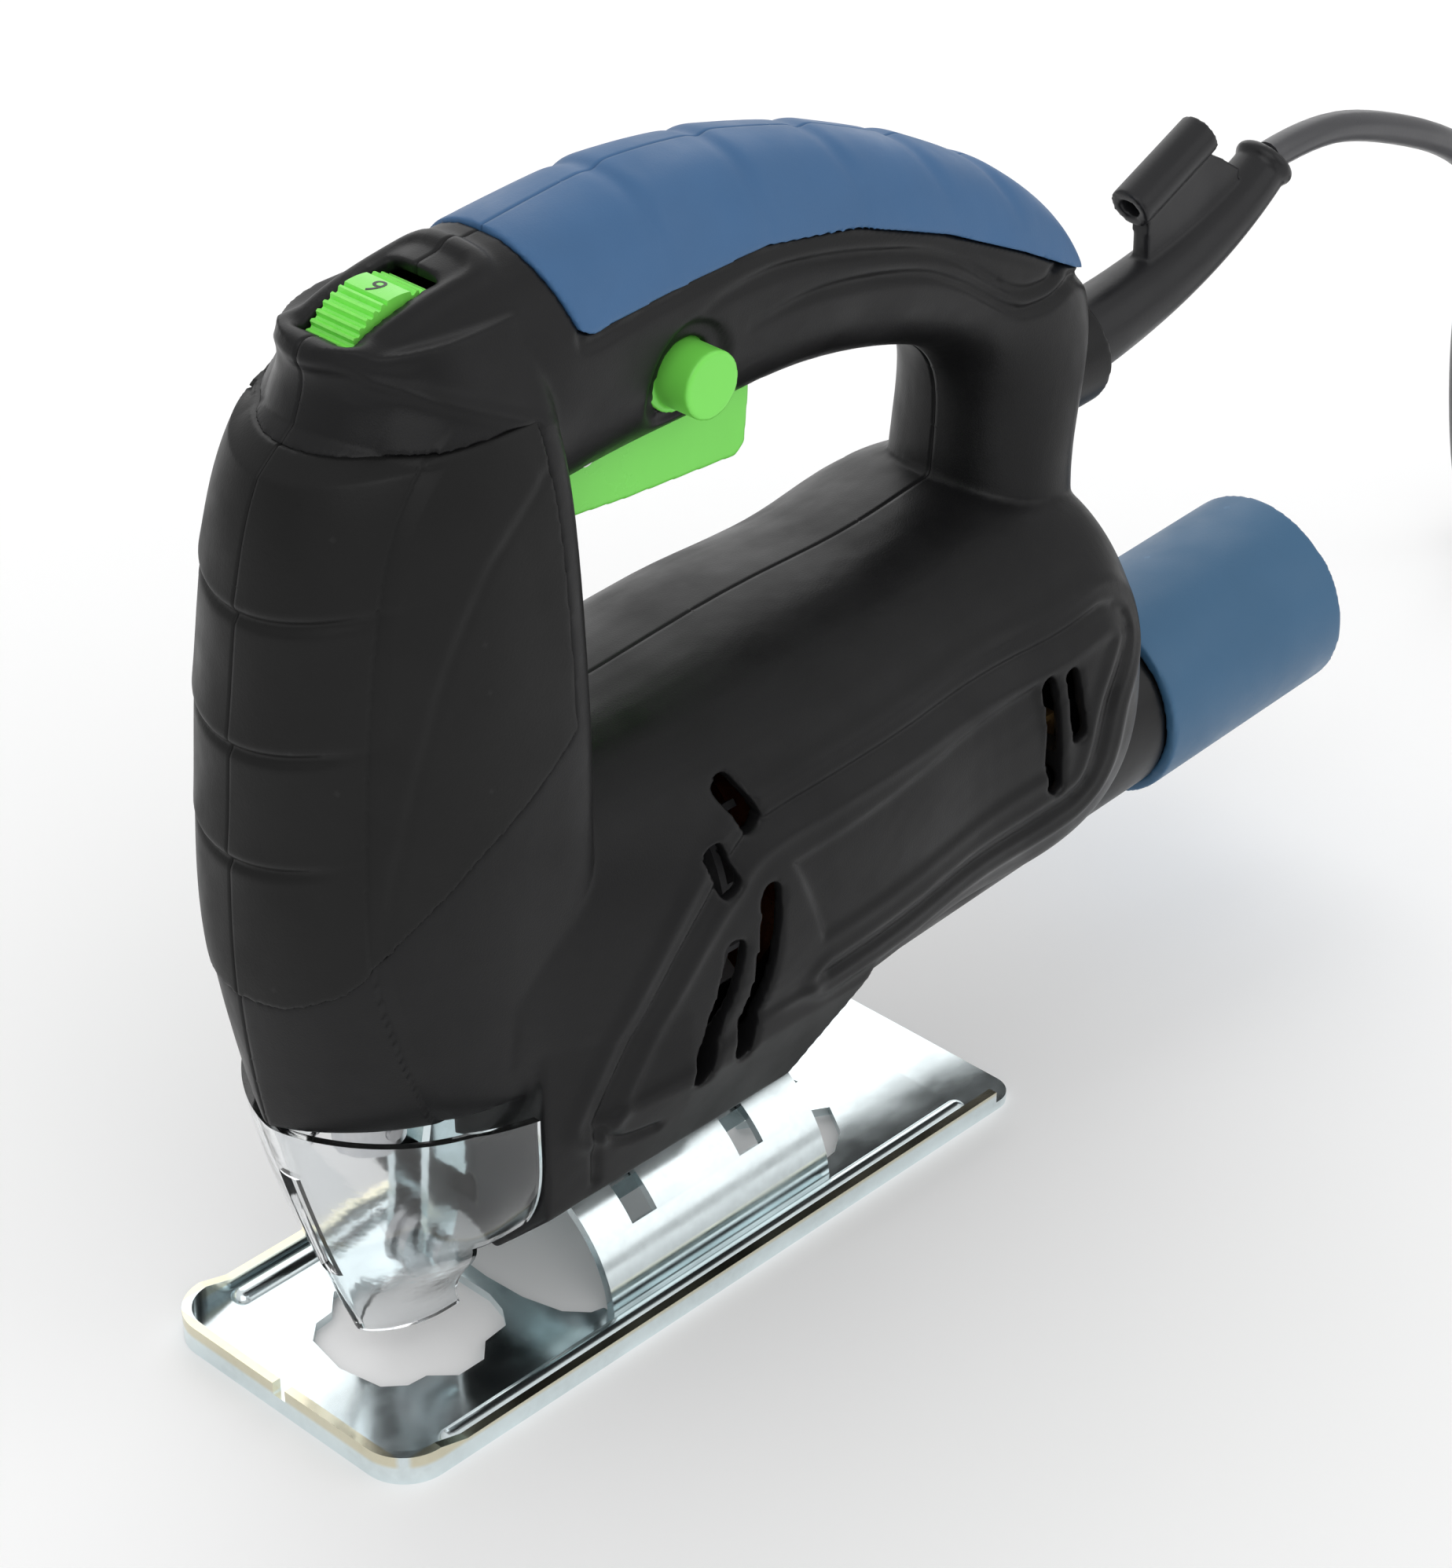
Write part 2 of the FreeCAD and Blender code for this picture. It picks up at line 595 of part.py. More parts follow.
node("lower_bush", ring("lower_bush", "7", "plunger_radius + running_gap", "14",
                        (dim.plunger_axis, 0, 62), "z"))

clamp_low = dim.plunger_bottom - 10
clamp_body = rod("clamp_body", "6.5", "12.5", (dim.plunger_axis, 0, clamp_low), "z")
clamp_cuts = fuse("clamp_cuts",
                  rod("clamp_bore", "plunger_radius", "3", (dim.plunger_axis, 0, dim.plunger_bottom), "z"),
                  box("blade_slot", "8.2", "1.6", "10", (dim.plunger_axis, 0, clamp_low)),
                  rod("screw_front", "1.6", "8", (dim.plunger_axis - 8, 0, clamp_low + 6)),
                  rod("screw_side", "1.6", "8", (dim.plunger_axis, -8, clamp_low + 3.4), "y"))
node("blade_clamp", cut("blade_clamp", clamp_body, clamp_cuts))
node("clamp_set_screws", group(
    "clamp_set_screws",
    rod("set_screw_front", "1.55", "2.6", (dim.plunger_axis - 7.2, 0, clamp_low + 6)),
    rod("set_screw_side", "1.55", "5.8", (dim.plunger_axis, -7.2, clamp_low + 3.4), "y")))

# ---------------------------------------------------------------- guide roller

arm_outline = [(-39.7, 57), (-43.5, 57), (-46.4, 42), (-47.4, 28), (-48.4, 21), (-46.6, 17.2),
               (-43.0, 17.2), (-40.6, 24), (-39.7, 34)]
arms = [prism(arm_outline, 1.8, middle=side * 4.3) for side in (-1, 1)]
fork = arms[0].fuse([arms[1], slab((-41.6, -9, 37), (-39.7, 9, 57))])
fork = fork.cut(across(dim.axle_radius, dim.roller_x, dim.roller_height, -9, 9))
node("roller_bracket", feature("roller_bracket", fork))
node("roller_axle", fuse(
    "roller_axle",
    rod("axle_pin", "axle_radius", "13.6", (dim.roller_x, -7.4, dim.roller_height), "y"),
    rod("axle_head", "axle_radius + 1", "1.2", (dim.roller_x, -7.6, dim.roller_height), "y")))
groove = ring("roller_groove", "roller_radius + 1", "roller_radius - 1.2", "1.5",
              (dim.roller_x, -0.75, dim.roller_height), "y")
node("guide_roller", cut(
    "guide_roller",
    ring("roller_wheel", "roller_radius", "axle_radius + running_gap", "roller_width",
         (dim.roller_x, -dim.roller_width / 2, dim.roller_height), "y"), groove))

# ---------------------------------------------------------------- sole and its clamp

half_length, half_width = dim.sole_length / 2, dim.sole_width / 2
arch_rear = dim.arch_front + dim.arch_length
BLADE_OPENING = [(-65.3, 0), (-63.6, 9), (-60.0, 12.2), (-56.0, 12.6), (-52.0, 16.6), (-46.0, 16.6),
                 (-42.5, 13.2), (-37.0, 12.6), (-34.4, 9), (-33.0, 4)]


def plan(points, height, base=0.0):
    """Solid on a plan outline of (x, y) points, mirrored across the centre plane."""
    corners = [Vector(px, py, base) for px, py in points]
    corners += [Vector(px, -py, base) for px, py in reversed(points) if py]
    return Part.Face(Part.makePolygon(corners + corners[:1])).extrude(Vector(0, 0, height))


def sole_plan(inset, height):
    """Sole outline drawn in by `inset`: round front corners, small rear ones, open rim behind."""
    shape = slab((-half_length + inset, -half_width + inset, 0), (half_length, half_width - inset, height))
    front = [e for e in shape.Edges if e.BoundBox.ZLength > height / 2 and e.BoundBox.XMax < 0]
    rear = [e for e in shape.Edges if e.BoundBox.ZLength > height / 2 and e.BoundBox.XMin > 0]
    return shape.makeFillet(dim.sole_corner - inset, front).makeFillet(5.0 - inset / 2, rear)


def half_ring(outer, inner, start, length):
    shape = Part.makeCylinder(outer, length, Vector(start, 0, 0), X).cut(
        Part.makeCylinder(inner, length, Vector(start, 0, 0), X))
    return shape.common(slab((start, -outer, 0), (start + length, outer, outer)))


tray = sole_plan(0, dim.front_rim).cut(sole_plan(dim.sheet, dim.front_rim).translate(Vector(0, 0, dim.sheet)))
step = prism([(-half_length + 9, dim.front_rim), (-half_length + 15, dim.side_rim),
              (half_length + 1, dim.side_rim), (half_length + 1, 9), (-half_length + 9, 9)], 90)
tray = tray.cut([step, slab((half_length - 6, -40, dim.sheet), (half_length + 1, 40, 9)),
                 slab((-half_length - 1, -1.6, 3.4), (-half_length + 3, 1.6, 9))])
beads = []
for side in (-1, 1):
    line = Part.makeCylinder(dim.bead_radius, 130, Vector(-64, side * dim.bead_offset, 1.0), X)
    ends = [Part.makeSphere(dim.bead_radius, Vector(ex, side * dim.bead_offset, 1.0)) for ex in (-64, 66)]
    beads.append(line.fuse(ends).common(slab((-80, -40, 0.9), (80, 40, 9))))
arch_slots = []
for sx in (dim.clamp_screw_a, dim.clamp_screw_b):
    wedge = Part.makeCylinder(60, 2 * (dim.clamp_screw_radius + 0.6),
                              Vector(sx - dim.clamp_screw_radius - 0.6, 0, 0), X,
                              2 * dim.bevel_slot_angle)
    wedge.rotate(Vector(0, 0, 0), X, -dim.bevel_slot_angle)
    arch_slots.append(wedge)
arch = half_ring(dim.arch_radius, dim.arch_radius - dim.sheet, dim.arch_front, dim.arch_length)
rear_bow = [(arch_rear - 1, 21), (arch_rear + 6, 20.2), (arch_rear + 11.5, 16.5), (arch_rear + 15.5, 10),
            (arch_rear + 17.3, 0)]
front_bow = [(-30.0, 0), (-29.5, 9), (-27.4, 17), (-24.0, 21), (dim.arch_front + 1, 22)]
cuts = [plan(BLADE_OPENING, 10, -1), plan(rear_bow + [(arch_rear - 1, 0)], 10, -1),
        plan(front_bow + [(dim.arch_front + 1, 0)], 10, -1),
        slab((dim.arch_front, -dim.arch_radius + dim.sheet, -1),
             (arch_rear, dim.arch_radius - dim.sheet, 10))]
sole = tray.fuse(beads).cut(cuts).fuse(arch).cut(arch_slots)
node("sole_plate", feature("sole_plate", sole))

clamp_outer = dim.arch_radius - dim.sheet - dim.seat_gap
clamp_arc = half_ring(clamp_outer, clamp_outer - 3, dim.clamp_screw_a - 7,
                      dim.clamp_screw_b - dim.clamp_screw_a + 14)
clamp_arc = clamp_arc.common(slab((-50, -13, 10), (60, 13, 40)))
clamp_arc = clamp_arc.cut([Part.makeCylinder(dim.clamp_screw_radius + 0.1, 30, Vector(sx, 0, 5), Z)
                           for sx in (dim.clamp_screw_a, dim.clamp_screw_b)])
node("clamp_plate", feature("clamp_plate", clamp_arc))

head_top = clamp_outer - 3.05
clamp_screws = []
for sx in (dim.clamp_screw_a, dim.clamp_screw_b):
    head = Part.makeCylinder(4.2, 4.2, Vector(sx, 0, head_top - 4.9), Z)
    shank = Part.makeCylinder(dim.clamp_screw_radius, 37.5 - head_top + 1, Vector(sx, 0, head_top - 1), Z)
    hexagon = Part.makePolygon([Vector(sx + 2.3 * math.cos(math.radians(60 * i)),
                                       2.3 * math.sin(math.radians(60 * i)), head_top - 5)
                                for i in range(7)])
    socket = Part.Face(hexagon).extrude(Z * 2.6)
    clamp_screws.append(head.fuse(shank).cut(socket))
node("clamp_screws", feature("clamp_screws", Part.makeCompound(clamp_screws)))

# ---------------------------------------------------------------- chip guard

# Level sections of the hood, each (height, front, half width).
GUARD_SIDE = -46.0
GUARD_SECTIONS = [(8.0, -60.6, 7.6), (14.0, -62.8, 9.2), (21.0, -65.2, 14.0), (33.0, -69.0, 23.4),
                  (46.0, -72.8, 27.4), (60.4, -76.2, 28.0)]
GUARD_OUTLINE = [(-90, 62), (-60, 62), (-40.2, 56.5), (-40.2, 33), (-51.5, 33), (-47, 22), (-42.4, 5),
                 (-90, 5)]


def guard_form(inset):
    wires = []
    for height, front, half in GUARD_SECTIONS:
        reach, side = GUARD_SIDE - front - inset, half - inset
        points = []
        for across_part, along in squircle(40):
            if along < 0:
                points.append(Vector(GUARD_SIDE + reach * along, side * power(across_part, 1.3), height))
            else:
                points.append(Vector(GUARD_SIDE + 14 * power(along, 0.4),
                                     side * power(across_part, 0.4), height))
        wires.append(smooth_loop(points))
    return loft(wires)


guard = guard_form(0).cut(guard_form(1.6)).common(prism(GUARD_OUTLINE, 90))
guard = guard.cut(slab((-85, -2.2, 24), (-55, 2.2, 49)))
node("chip_guard", feature("chip_guard", max(guard.Solids, key=lambda s: s.Volume)))

# ---------------------------------------------------------------- controls

def dial_shape():
    """Thumbwheel about Y with ribs all round and six smooth patches for its numbers."""
    corners, steps = [], 180
    for i in range(steps):
        turned = 360.0 * i / steps
        patch = min(abs((turned - 52 * k + 180) % 360 - 180) for k in range(6)) < 12
        radius = dim.dial_radius if patch or i % 4 < 2 else dim.dial_radius - 0.7
        angle = math.radians(turned)
        corners.append(Vector(radius * math.sin(angle), -dim.dial_width / 2, radius * math.cos(angle)))
    wheel = Part.Face(Part.makePolygon(corners + corners[:1])).extrude(Y * dim.dial_width)
    return wheel.cut(across(2.54, 0, 0, -6, 6))


dial = feature("speed_dial", dial_shape())
dial.Placement.Base = Vector(dim.dial_x, 0, dim.dial_height)
node("speed_dial", dial)
board = slab((-49, 6.6, 179), (-33, 8.2, 193.5)).fuse(
    across(2.5, dim.dial_x, dim.dial_height, -5.6, 7.0))
node("speed_board", feature("speed_board", board))

trigger_outline = [(-14.5, 171.5), (-14.5, 158.5), (-9.6, 152.6), (2.0, 151.2), (15.0, 150.2),
                   (28.6, 149.2), (30.8, 151.0), (31.8, 160.0), (32.4, 171.5)]
trigger = prism(trigger_outline, dim.trigger_width)
hollow = prism([(-6, 173), (-6, 160), (28, 157), (28, 173)], dim.trigger_width - 4)
trigger = trigger.cut([across(2.04, dim.trigger_pivot_x, dim.trigger_pivot_height, -9, 9), hollow])
node("trigger", feature("trigger", trigger))
node("trigger_pin", rod("trigger_pin", "2", "24",
                        (dim.trigger_pivot_x, -12, dim.trigger_pivot_height), "y"))
node("trigger_spring", ring("trigger_spring", "3.6", "2.6", "16.4", (14, 0, 159.2), "z"))
node("switch_module", fuse("switch_module", box("switch_case", "40", "17", "15", (14, 0, 176.2)),
                           box("switch_terminals", "10", "12", "5", (24, 0, 191.2))))
node("lock_button", fuse(
    "lock_button",
    rod("button_cap", "button_radius", "7.9", (dim.button_x, dim.button_face, dim.button_height), "y"),
    rod("button_collar", "button_radius + 1.2", "1.2",
        (dim.button_x, dim.button_face + 7.9, dim.button_height), "y")))
node("lock_spring", ring("lock_spring", "4.6", "3.8", "3.5",
                         (dim.button_x, dim.button_face + 9.3, dim.button_height), "y"))
node("capacitor", box("capacitor", "20", "12", "15", (66, 0, 170)))
node("cord_clamp", box("cord_clamp", "9", "16", "6", (101, 0, 138)))

# ---------------------------------------------------------------- dust port

collar_length = COLLAR_START - dim.tube_length - 0.5
collar = cut("dust_collar",
             fuse("collar_outer",
                  along_port("collar_body", "collar_radius", COLLAR_START, f"{collar_length}"),
                  along_port("collar_spigot", "tube_bore + 0.1", dim.tube_length + 0.5, "16")),
             along_port("collar_hole", "collar_bore", COLLAR_START, f"{collar_length} + 16"))
node("dust_collar", collar)
node("dust_tube", cut("dust_tube", along_port("tube_outer", "tube_radius", dim.tube_length, "tube_length"),
                      along_port("tube_hole", "tube_bore", dim.tube_length, "tube_length"),
                      along_port("tube_socket", "tube_bore + 0.4", dim.tube_length, "16.5")))

# ---------------------------------------------------------------- cord

def boot_body(first, last, last_part):
    """Tapered round body along the boot, from radius `first` to radius `last`."""
    circles = []
    for i in range(9):
        part = last_part * i / 8
        point, direction = boot_point(part)
        circles.append(Part.Wire([Part.makeCircle(first + (last - first) * part, point, direction)]))
    return loft(circles)


boot_end, boot_axis = boot_point(1.0)
flange = Part.makeTorus(4.6, 1.5, boot_end - boot_axis * 1.5, boot_axis).fuse(
    Part.makeCylinder(4.6, 3, boot_end - boot_axis * 3, boot_axis))
key_start, key_end = Vector(140.8, 0, 154.9), Vector(160.9, 0, 163.8)
key_axis = (key_end - key_start).normalize()
key_barrel = Part.makeCylinder(4.3, 22, key_start, key_axis)
web = prism([(145.0, 138), (144.4, 150), (144.6, 154), (160.0, 161), (166.0, 157.5), (171, 154),
             (171, 147)], 4.0)
boot = boot_body(8.4, 5.2, 1.0).fuse([flange, key_barrel, web]).cut(
    [Part.makeCylinder(2.05, 22, key_start, key_axis), boot_body(dim.cord_radius, dim.cord_radius, 0.96)])
node("cord_boot", feature("cord_boot", boot))

CORD_ROUTE = [(182.5, 0, 152.0), (195.0, 0, 153.2), (213.0, 0, 149.4), (243.7, 0, 136.0),
              (266.0, 5, 118.0), (282.0, 17, 94.0), (294.0, 26, 66.0), (301.0, 29, 40.0),
              (308.0, 30.3, 18.0), (318.0, 30.3, 6.5), (330.0, 30.3, 3.2)]


def cord_tube(route, radius):
    """Round tube on straight runs joined by tangent arcs; prints each arc's radius."""
    edges, here = [], route[0]
    for before, corner, after in zip(route, route[1:], route[2:]):
        into, out = (corner - before), (after - corner)
        half_turn = into.getAngle(out) / 2
        reach = 0.45 * min(into.Length, out.Length)
        start = corner - into.normalize() * reach
        end = corner + out.normalize() * reach
        bend = reach / math.tan(half_turn)
        middle = corner + (start + end - corner * 2).normalize() * (bend / math.cos(half_turn) - bend)
        edges += [Part.makeLine(here, start), Part.Arc(start, middle, end).toShape()]
        here = end
        print(f"cord bend radius {bend:.1f}")
    edges.append(Part.makeLine(here, route[-1]))
    spine = Part.Wire(edges)
    section = Part.Wire([Part.makeCircle(radius, route[0], route[1] - route[0])])
    tube = spine.makePipeShell([section], True, False)
    expected = math.pi * radius ** 2 * spine.Length
    print(f"cord tube volume {tube.Volume:.0f}, section times length {expected:.0f}")
    return tube


route = [Vector(*corner) for corner in CORD_ROUTE]
node("power_cord", feature("power_cord", cord_tube(route, dim.cord_radius)))

coil_centre = Vector(356, -14, 0.7)
turn_width, turn_height = 8 * dim.cord_radius, 4 * dim.cord_radius
coil_middle = 35.0
coil = Part.makeCylinder(coil_middle + turn_width / 2, turn_height, coil_centre, Z).cut(
    Part.makeCylinder(coil_middle - turn_width / 2, turn_height, coil_centre, Z))
coil = coil.makeFillet(2.4, [e for e in coil.Edges if e.Curve.TypeId == "Part::GeomCircle"])
node("cord_coil", feature("cord_coil", coil))
tie_middle = coil_centre + Vector(coil_middle, 0, turn_height / 2)
tie_out = Vector(turn_width / 2 + 1.0, 4, turn_height / 2 + 0.7)
tie_in = Vector(turn_width / 2 + 0.3, 5, turn_height / 2 + 0.2)
tie = slab(tie_middle - tie_out, tie_middle + tie_out).cut(slab(tie_middle - tie_in, tie_middle + tie_in))
node("cord_tie", feature("cord_tie", tie))

# The plug lies on the coil, its cord turning back over the coil in half a circle.
tail_length, neck_length, plug_length, pin_length = 10, 10, 30, 19
plug_width, plug_thickness = 26, 18
tail_turn = 26.0
outer_turn = coil_middle + 3 * dim.cord_radius
tail = coil_centre + Vector(0, 2 * tail_turn - outer_turn, turn_height + 1.2 + plug_thickness / 2)
neck_start = tail + X * tail_length
plug_start = neck_start + X * (neck_length - 1)
pin_start = plug_start + X * plug_length
node("cord_tail", rod("cord_tail", "cord_radius", str(tail_length), tail))
neck = Part.makeCone(4.4, 5.6, neck_length, neck_start, X)
plug_corner = Vector(0, plug_width / 2, plug_thickness / 2)
plug = slab(plug_start - plug_corner, pin_start + plug_corner)
plug = plug.makeFillet(4.0, plug.Edges)
node("plug_body", feature("plug_body", plug.fuse(neck)))
pins = [rod(f"pin_{i}", "2.4", str(pin_length), pin_start + Y * offset)
        for i, offset in enumerate((-9.5, 9.5))]
node("plug_pins", group("plug_pins", *pins))

# ---------------------------------------------------------------- check and export

doc.recompute()
for obj in doc.Objects:
    if "Invalid" in obj.State or "Error" in obj.State:
        raise RuntimeError(f"{obj.Label} did not recompute")
os.makedirs("parts", exist_ok=True)
for obj in nodes:
    if obj.Shape.isNull() or not obj.Shape.isValid():
        raise RuntimeError(f"{obj.Label} has no valid shape")
    obj.Shape.exportStep(f"parts/{obj.Label}.step")
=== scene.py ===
import json
import math

import bmesh
import bpy
import numpy as np
from mathutils import Matrix, Vector


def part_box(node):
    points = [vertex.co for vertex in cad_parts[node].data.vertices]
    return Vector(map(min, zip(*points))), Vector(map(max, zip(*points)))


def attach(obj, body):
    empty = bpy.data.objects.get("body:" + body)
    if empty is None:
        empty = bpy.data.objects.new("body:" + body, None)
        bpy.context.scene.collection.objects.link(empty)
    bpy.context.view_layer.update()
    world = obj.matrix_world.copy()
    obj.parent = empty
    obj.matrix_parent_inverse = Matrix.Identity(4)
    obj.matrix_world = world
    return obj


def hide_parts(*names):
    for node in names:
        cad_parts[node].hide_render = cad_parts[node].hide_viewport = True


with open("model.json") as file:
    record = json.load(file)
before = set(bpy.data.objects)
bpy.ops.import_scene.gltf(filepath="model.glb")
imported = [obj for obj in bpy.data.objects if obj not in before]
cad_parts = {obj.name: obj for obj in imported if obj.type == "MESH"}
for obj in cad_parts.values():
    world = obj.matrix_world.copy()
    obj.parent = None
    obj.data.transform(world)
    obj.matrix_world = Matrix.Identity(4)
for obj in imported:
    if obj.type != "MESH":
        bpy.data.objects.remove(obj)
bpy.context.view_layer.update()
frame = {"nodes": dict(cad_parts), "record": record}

MM = 0.001
sole_low, sole_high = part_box("sole_plate")
SOLE_MIDDLE = (sole_low.x + sole_high.x) / 2
scene = bpy.context.scene
collection = scene.collection


def at(x, y, z):
    """Point given in millimetres from the middle of the sole, as metres in the frame."""
    return Vector((x * MM + SOLE_MIDDLE, y * MM, z * MM))


# ---------------------------------------------------------------- camera

AZIMUTH, ELEVATION, ROLL = map(math.radians, (-45.386, 32.374, -0.551))
DISTANCE = 785.703          # mm, from the sole's middle to the camera along the view
SLIDE_RIGHT, SLIDE_UP = 22.316, 78.811
FOCAL_LENGTH, SENSOR = 97.42, 36.0


def make_camera():
    back = Vector((math.sin(AZIMUTH) * math.cos(ELEVATION), -math.cos(AZIMUTH) * math.cos(ELEVATION),
                   math.sin(ELEVATION)))
    level = Vector((math.cos(AZIMUTH), math.sin(AZIMUTH), 0))
    upright = back.cross(level)
    right = level * math.cos(ROLL) + upright * math.sin(ROLL)
    up = upright * math.cos(ROLL) - level * math.sin(ROLL)
    data = bpy.data.cameras.new("camera")
    data.lens, data.sensor_fit, data.sensor_height = FOCAL_LENGTH, "VERTICAL", SENSOR
    data.clip_end = 20
    camera = bpy.data.objects.new("camera", data)
    place = at(0, 0, 0) + (back * DISTANCE + right * SLIDE_RIGHT + up * SLIDE_UP) * MM
    turn = Matrix((right, up, back)).transposed().to_4x4()
    camera.matrix_world = Matrix.Translation(place) @ turn
    collection.objects.link(camera)
    scene.camera = camera


make_camera()

# ---------------------------------------------------------------- materials


def rgb(red, green, blue):
    """Linear colour from display values of 0 to 255."""
    display = (red, green, blue)
    return tuple(((v / 255 + 0.055) / 1.055) ** 2.4 if v > 10 else v / 3294 for v in display) + (1,)


class Surface:
    """Builds one node material over the frame's own coordinates."""

    def __init__(self, name, colour, roughness, metallic=0.0, specular=0.5):
        self.material = bpy.data.materials.new(name)
        self.material.use_nodes = True
        self.tree = self.material.node_tree
        self.shader = self.tree.nodes["Principled BSDF"]
        self.shader.inputs["Base Color"].default_value = colour
        self.shader.inputs["Roughness"].default_value = roughness
        self.shader.inputs["Metallic"].default_value = metallic
        self.shader.inputs["Specular IOR Level"].default_value = specular
        self.colour, self.roughness, self.height = colour, roughness, None
        self.place = self.node("ShaderNodeTexCoord").outputs["Object"]

    def node(self, kind, **settings):
        made = self.tree.nodes.new(kind)
        for key, value in settings.items():
            setattr(made, key, value)
        return made

    def link(self, source, target):
        self.tree.links.new(source, target)

    def stretched(self, stretch):
        mapping = self.node("ShaderNodeMapping")
        mapping.inputs["Scale"].default_value = stretch
        self.link(self.place, mapping.inputs["Vector"])
        return mapping.outputs["Vector"]

    def noise(self, size_mm, detail=3.0, stretch=(1, 1, 1), distortion=0.0):
        made = self.node("ShaderNodeTexNoise")
        made.inputs["Scale"].default_value = 1000.0 / size_mm
        made.inputs["Detail"].default_value = detail
        made.inputs["Distortion"].default_value = distortion
        self.link(self.stretched(stretch), made.inputs["Vector"])
        return made.outputs["Fac"]

    def ranged(self, source, low, high, to_low, to_high):
        made = self.node("ShaderNodeMapRange")
        for key, value in (("From Min", low), ("From Max", high), ("To Min", to_low), ("To Max", to_high)):
            made.inputs[key].default_value = value
        self.link(source, made.inputs["Value"])
        return made.outputs["Result"]

    def math(self, operation, a, b=0.0):
        made = self.node("ShaderNodeMath", operation=operation)
        for socket, value in zip(made.inputs, (a, b)):
            if isinstance(value, (int, float)):
                socket.default_value = value
            else:
                self.link(value, socket)
        return made.outputs[0]

    def tint(self, mask, colour):
        """Lays a colour over what is there, as much as mask says."""
        made = self.node("ShaderNodeMix", data_type="RGBA")
        socket = self.shader.inputs["Base Color"]
        if socket.is_linked:
            self.link(socket.links[0].from_socket, made.inputs[6])
        else:
            made.inputs[6].default_value = self.colour
        made.inputs[7].default_value = colour
        self.link(mask, made.inputs[0])
        self.link(made.outputs[2], socket)
        return self

    def mottle(self, size_mm, amount, stretch=(1, 1, 1)):
        """Slow change of tone and of roughness over the surface."""
        patches = self.noise(size_mm, 4.0, stretch, 0.3)
        darker = tuple(v * (1 - amount) for v in self.colour[:3]) + (1,)
        lighter = tuple(min(1, v * (1 + amount)) for v in self.colour[:3]) + (1,)
        self.tint(self.ranged(patches, 0.5, 0.72, 0, 1), lighter)
        self.tint(self.ranged(patches, 0.5, 0.28, 0, 1), darker)
        spread = 0.18 * self.roughness + 0.02
        self.link(self.ranged(self.noise(size_mm * 0.6, 5.0, stretch), 0.3, 0.7,
                              self.roughness - spread, self.roughness + spread),
                  self.shader.inputs["Roughness"])
        return self

    def wear(self, colour, start=0.53, end=0.6):
        """Rubbed convex edges, broken up by a fine noise."""
        pointed = self.node("ShaderNodeNewGeometry").outputs["Pointiness"]
        edge = self.ranged(pointed, start, end, 0, 1)
        return self.tint(self.math("MULTIPLY", edge, self.noise(1.5, 4.0)), colour)

    def grain(self, size_mm, depth_mm, stretch=(1, 1, 1), detail=3.0):
        """Adds fine relief."""
        bump = self.node("ShaderNodeBump")
        bump.inputs["Distance"].default_value = depth_mm * MM
        self.link(self.noise(size_mm, detail, stretch), bump.inputs["Height"])
        if self.height:
            self.link(self.height, bump.inputs["Normal"])
        self.height = bump.outputs["Normal"]
        self.link(self.height, self.shader.inputs["Normal"])
        return self

    def set(self, **sockets):
        for name, value in sockets.items():
            self.shader.inputs[name.replace("_", " ")].default_value = value
        return self


def plastic(name, colour, roughness, grain=0.35, depth=0.02, amount=0.12, specular=0.3):
    made = Surface(name, colour, roughness, specular=specular).mottle(22, amount).grain(grain, depth)
    return made.wear(tuple(min(1, v * 1.5 + 0.01) for v in colour[:3]) + (1,), 0.54, 0.66)


def metal(name, colour, roughness, stretch=(1, 1, 1), depth=0.006):
    made = Surface(name, colour, roughness, 1.0).mottle(9, 0.1, stretch).grain(0.8, depth, stretch)
    return made.wear(tuple(min(1, v * 1.2) for v in colour[:3]) + (1,))


HOUSING = plastic("housing", rgb(20, 20, 21), 0.4, 0.32, 0.03, specular=0.22)
PAD = plastic("soft_pad", rgb(20, 20, 20), 0.44, 0.5, 0.03, specular=0.2)
GRIP = plastic("blue_grip", rgb(62, 100, 141), 0.5, 0.4, 0.03, 0.05)
GREEN = plastic("green_plastic", rgb(122, 226, 86), 0.3, 0.3, 0.01, 0.04, 0.5)
TUBE = plastic("blue_tube", rgb(62, 100, 132), 0.42, 0.4, 0.02, 0.04)
BLACK = plastic("black_plastic", rgb(19, 19, 20), 0.36, 0.3, 0.02)
RUBBER = plastic("black_rubber", rgb(30, 30, 32), 0.36, 0.6, 0.02)
CORD = plastic("cord_sheath", rgb(62, 62, 65), 0.34, 0.9, 0.02, specular=0.5)
INNER = plastic("inner_plastic", rgb(70, 70, 72), 0.5)
BOARD = plastic("circuit_board", rgb(50, 110, 66), 0.5)
AMBER = plastic("capacitor_case", rgb(205, 170, 90), 0.35)
PALE = plastic("pale_plastic", rgb(205, 204, 198), 0.5)
GRAPHITE = plastic("graphite", rgb(60, 60, 62), 0.6)
ZINC = metal("zinc_plate", rgb(216, 226, 228), 0.17, (0.6, 1, 1), 0.0006)
STEEL = metal("steel", rgb(196, 196, 198), 0.32)
BRIGHT = metal("bright_steel", rgb(224, 224, 226), 0.16)
IRON = metal("laminations", rgb(120, 118, 114), 0.45, (12, 1, 1), 0.02)
COPPER = metal("copper", rgb(205, 130, 84), 0.35, (1, 6, 6), 0.05)
BRONZE = metal("bronze", rgb(176, 142, 92), 0.45)
ALUMINIUM = metal("aluminium", rgb(190, 192, 196), 0.42)


def clear_plastic():
    made = Surface("clear_guard", (0.95, 0.97, 0.98, 1), 0.08).set(
        Transmission_Weight=1.0, IOR=1.46, Alpha=1.0)
    return made.grain(9, 0.08).grain(0.6, 0.002)


CLEAR = clear_plastic()


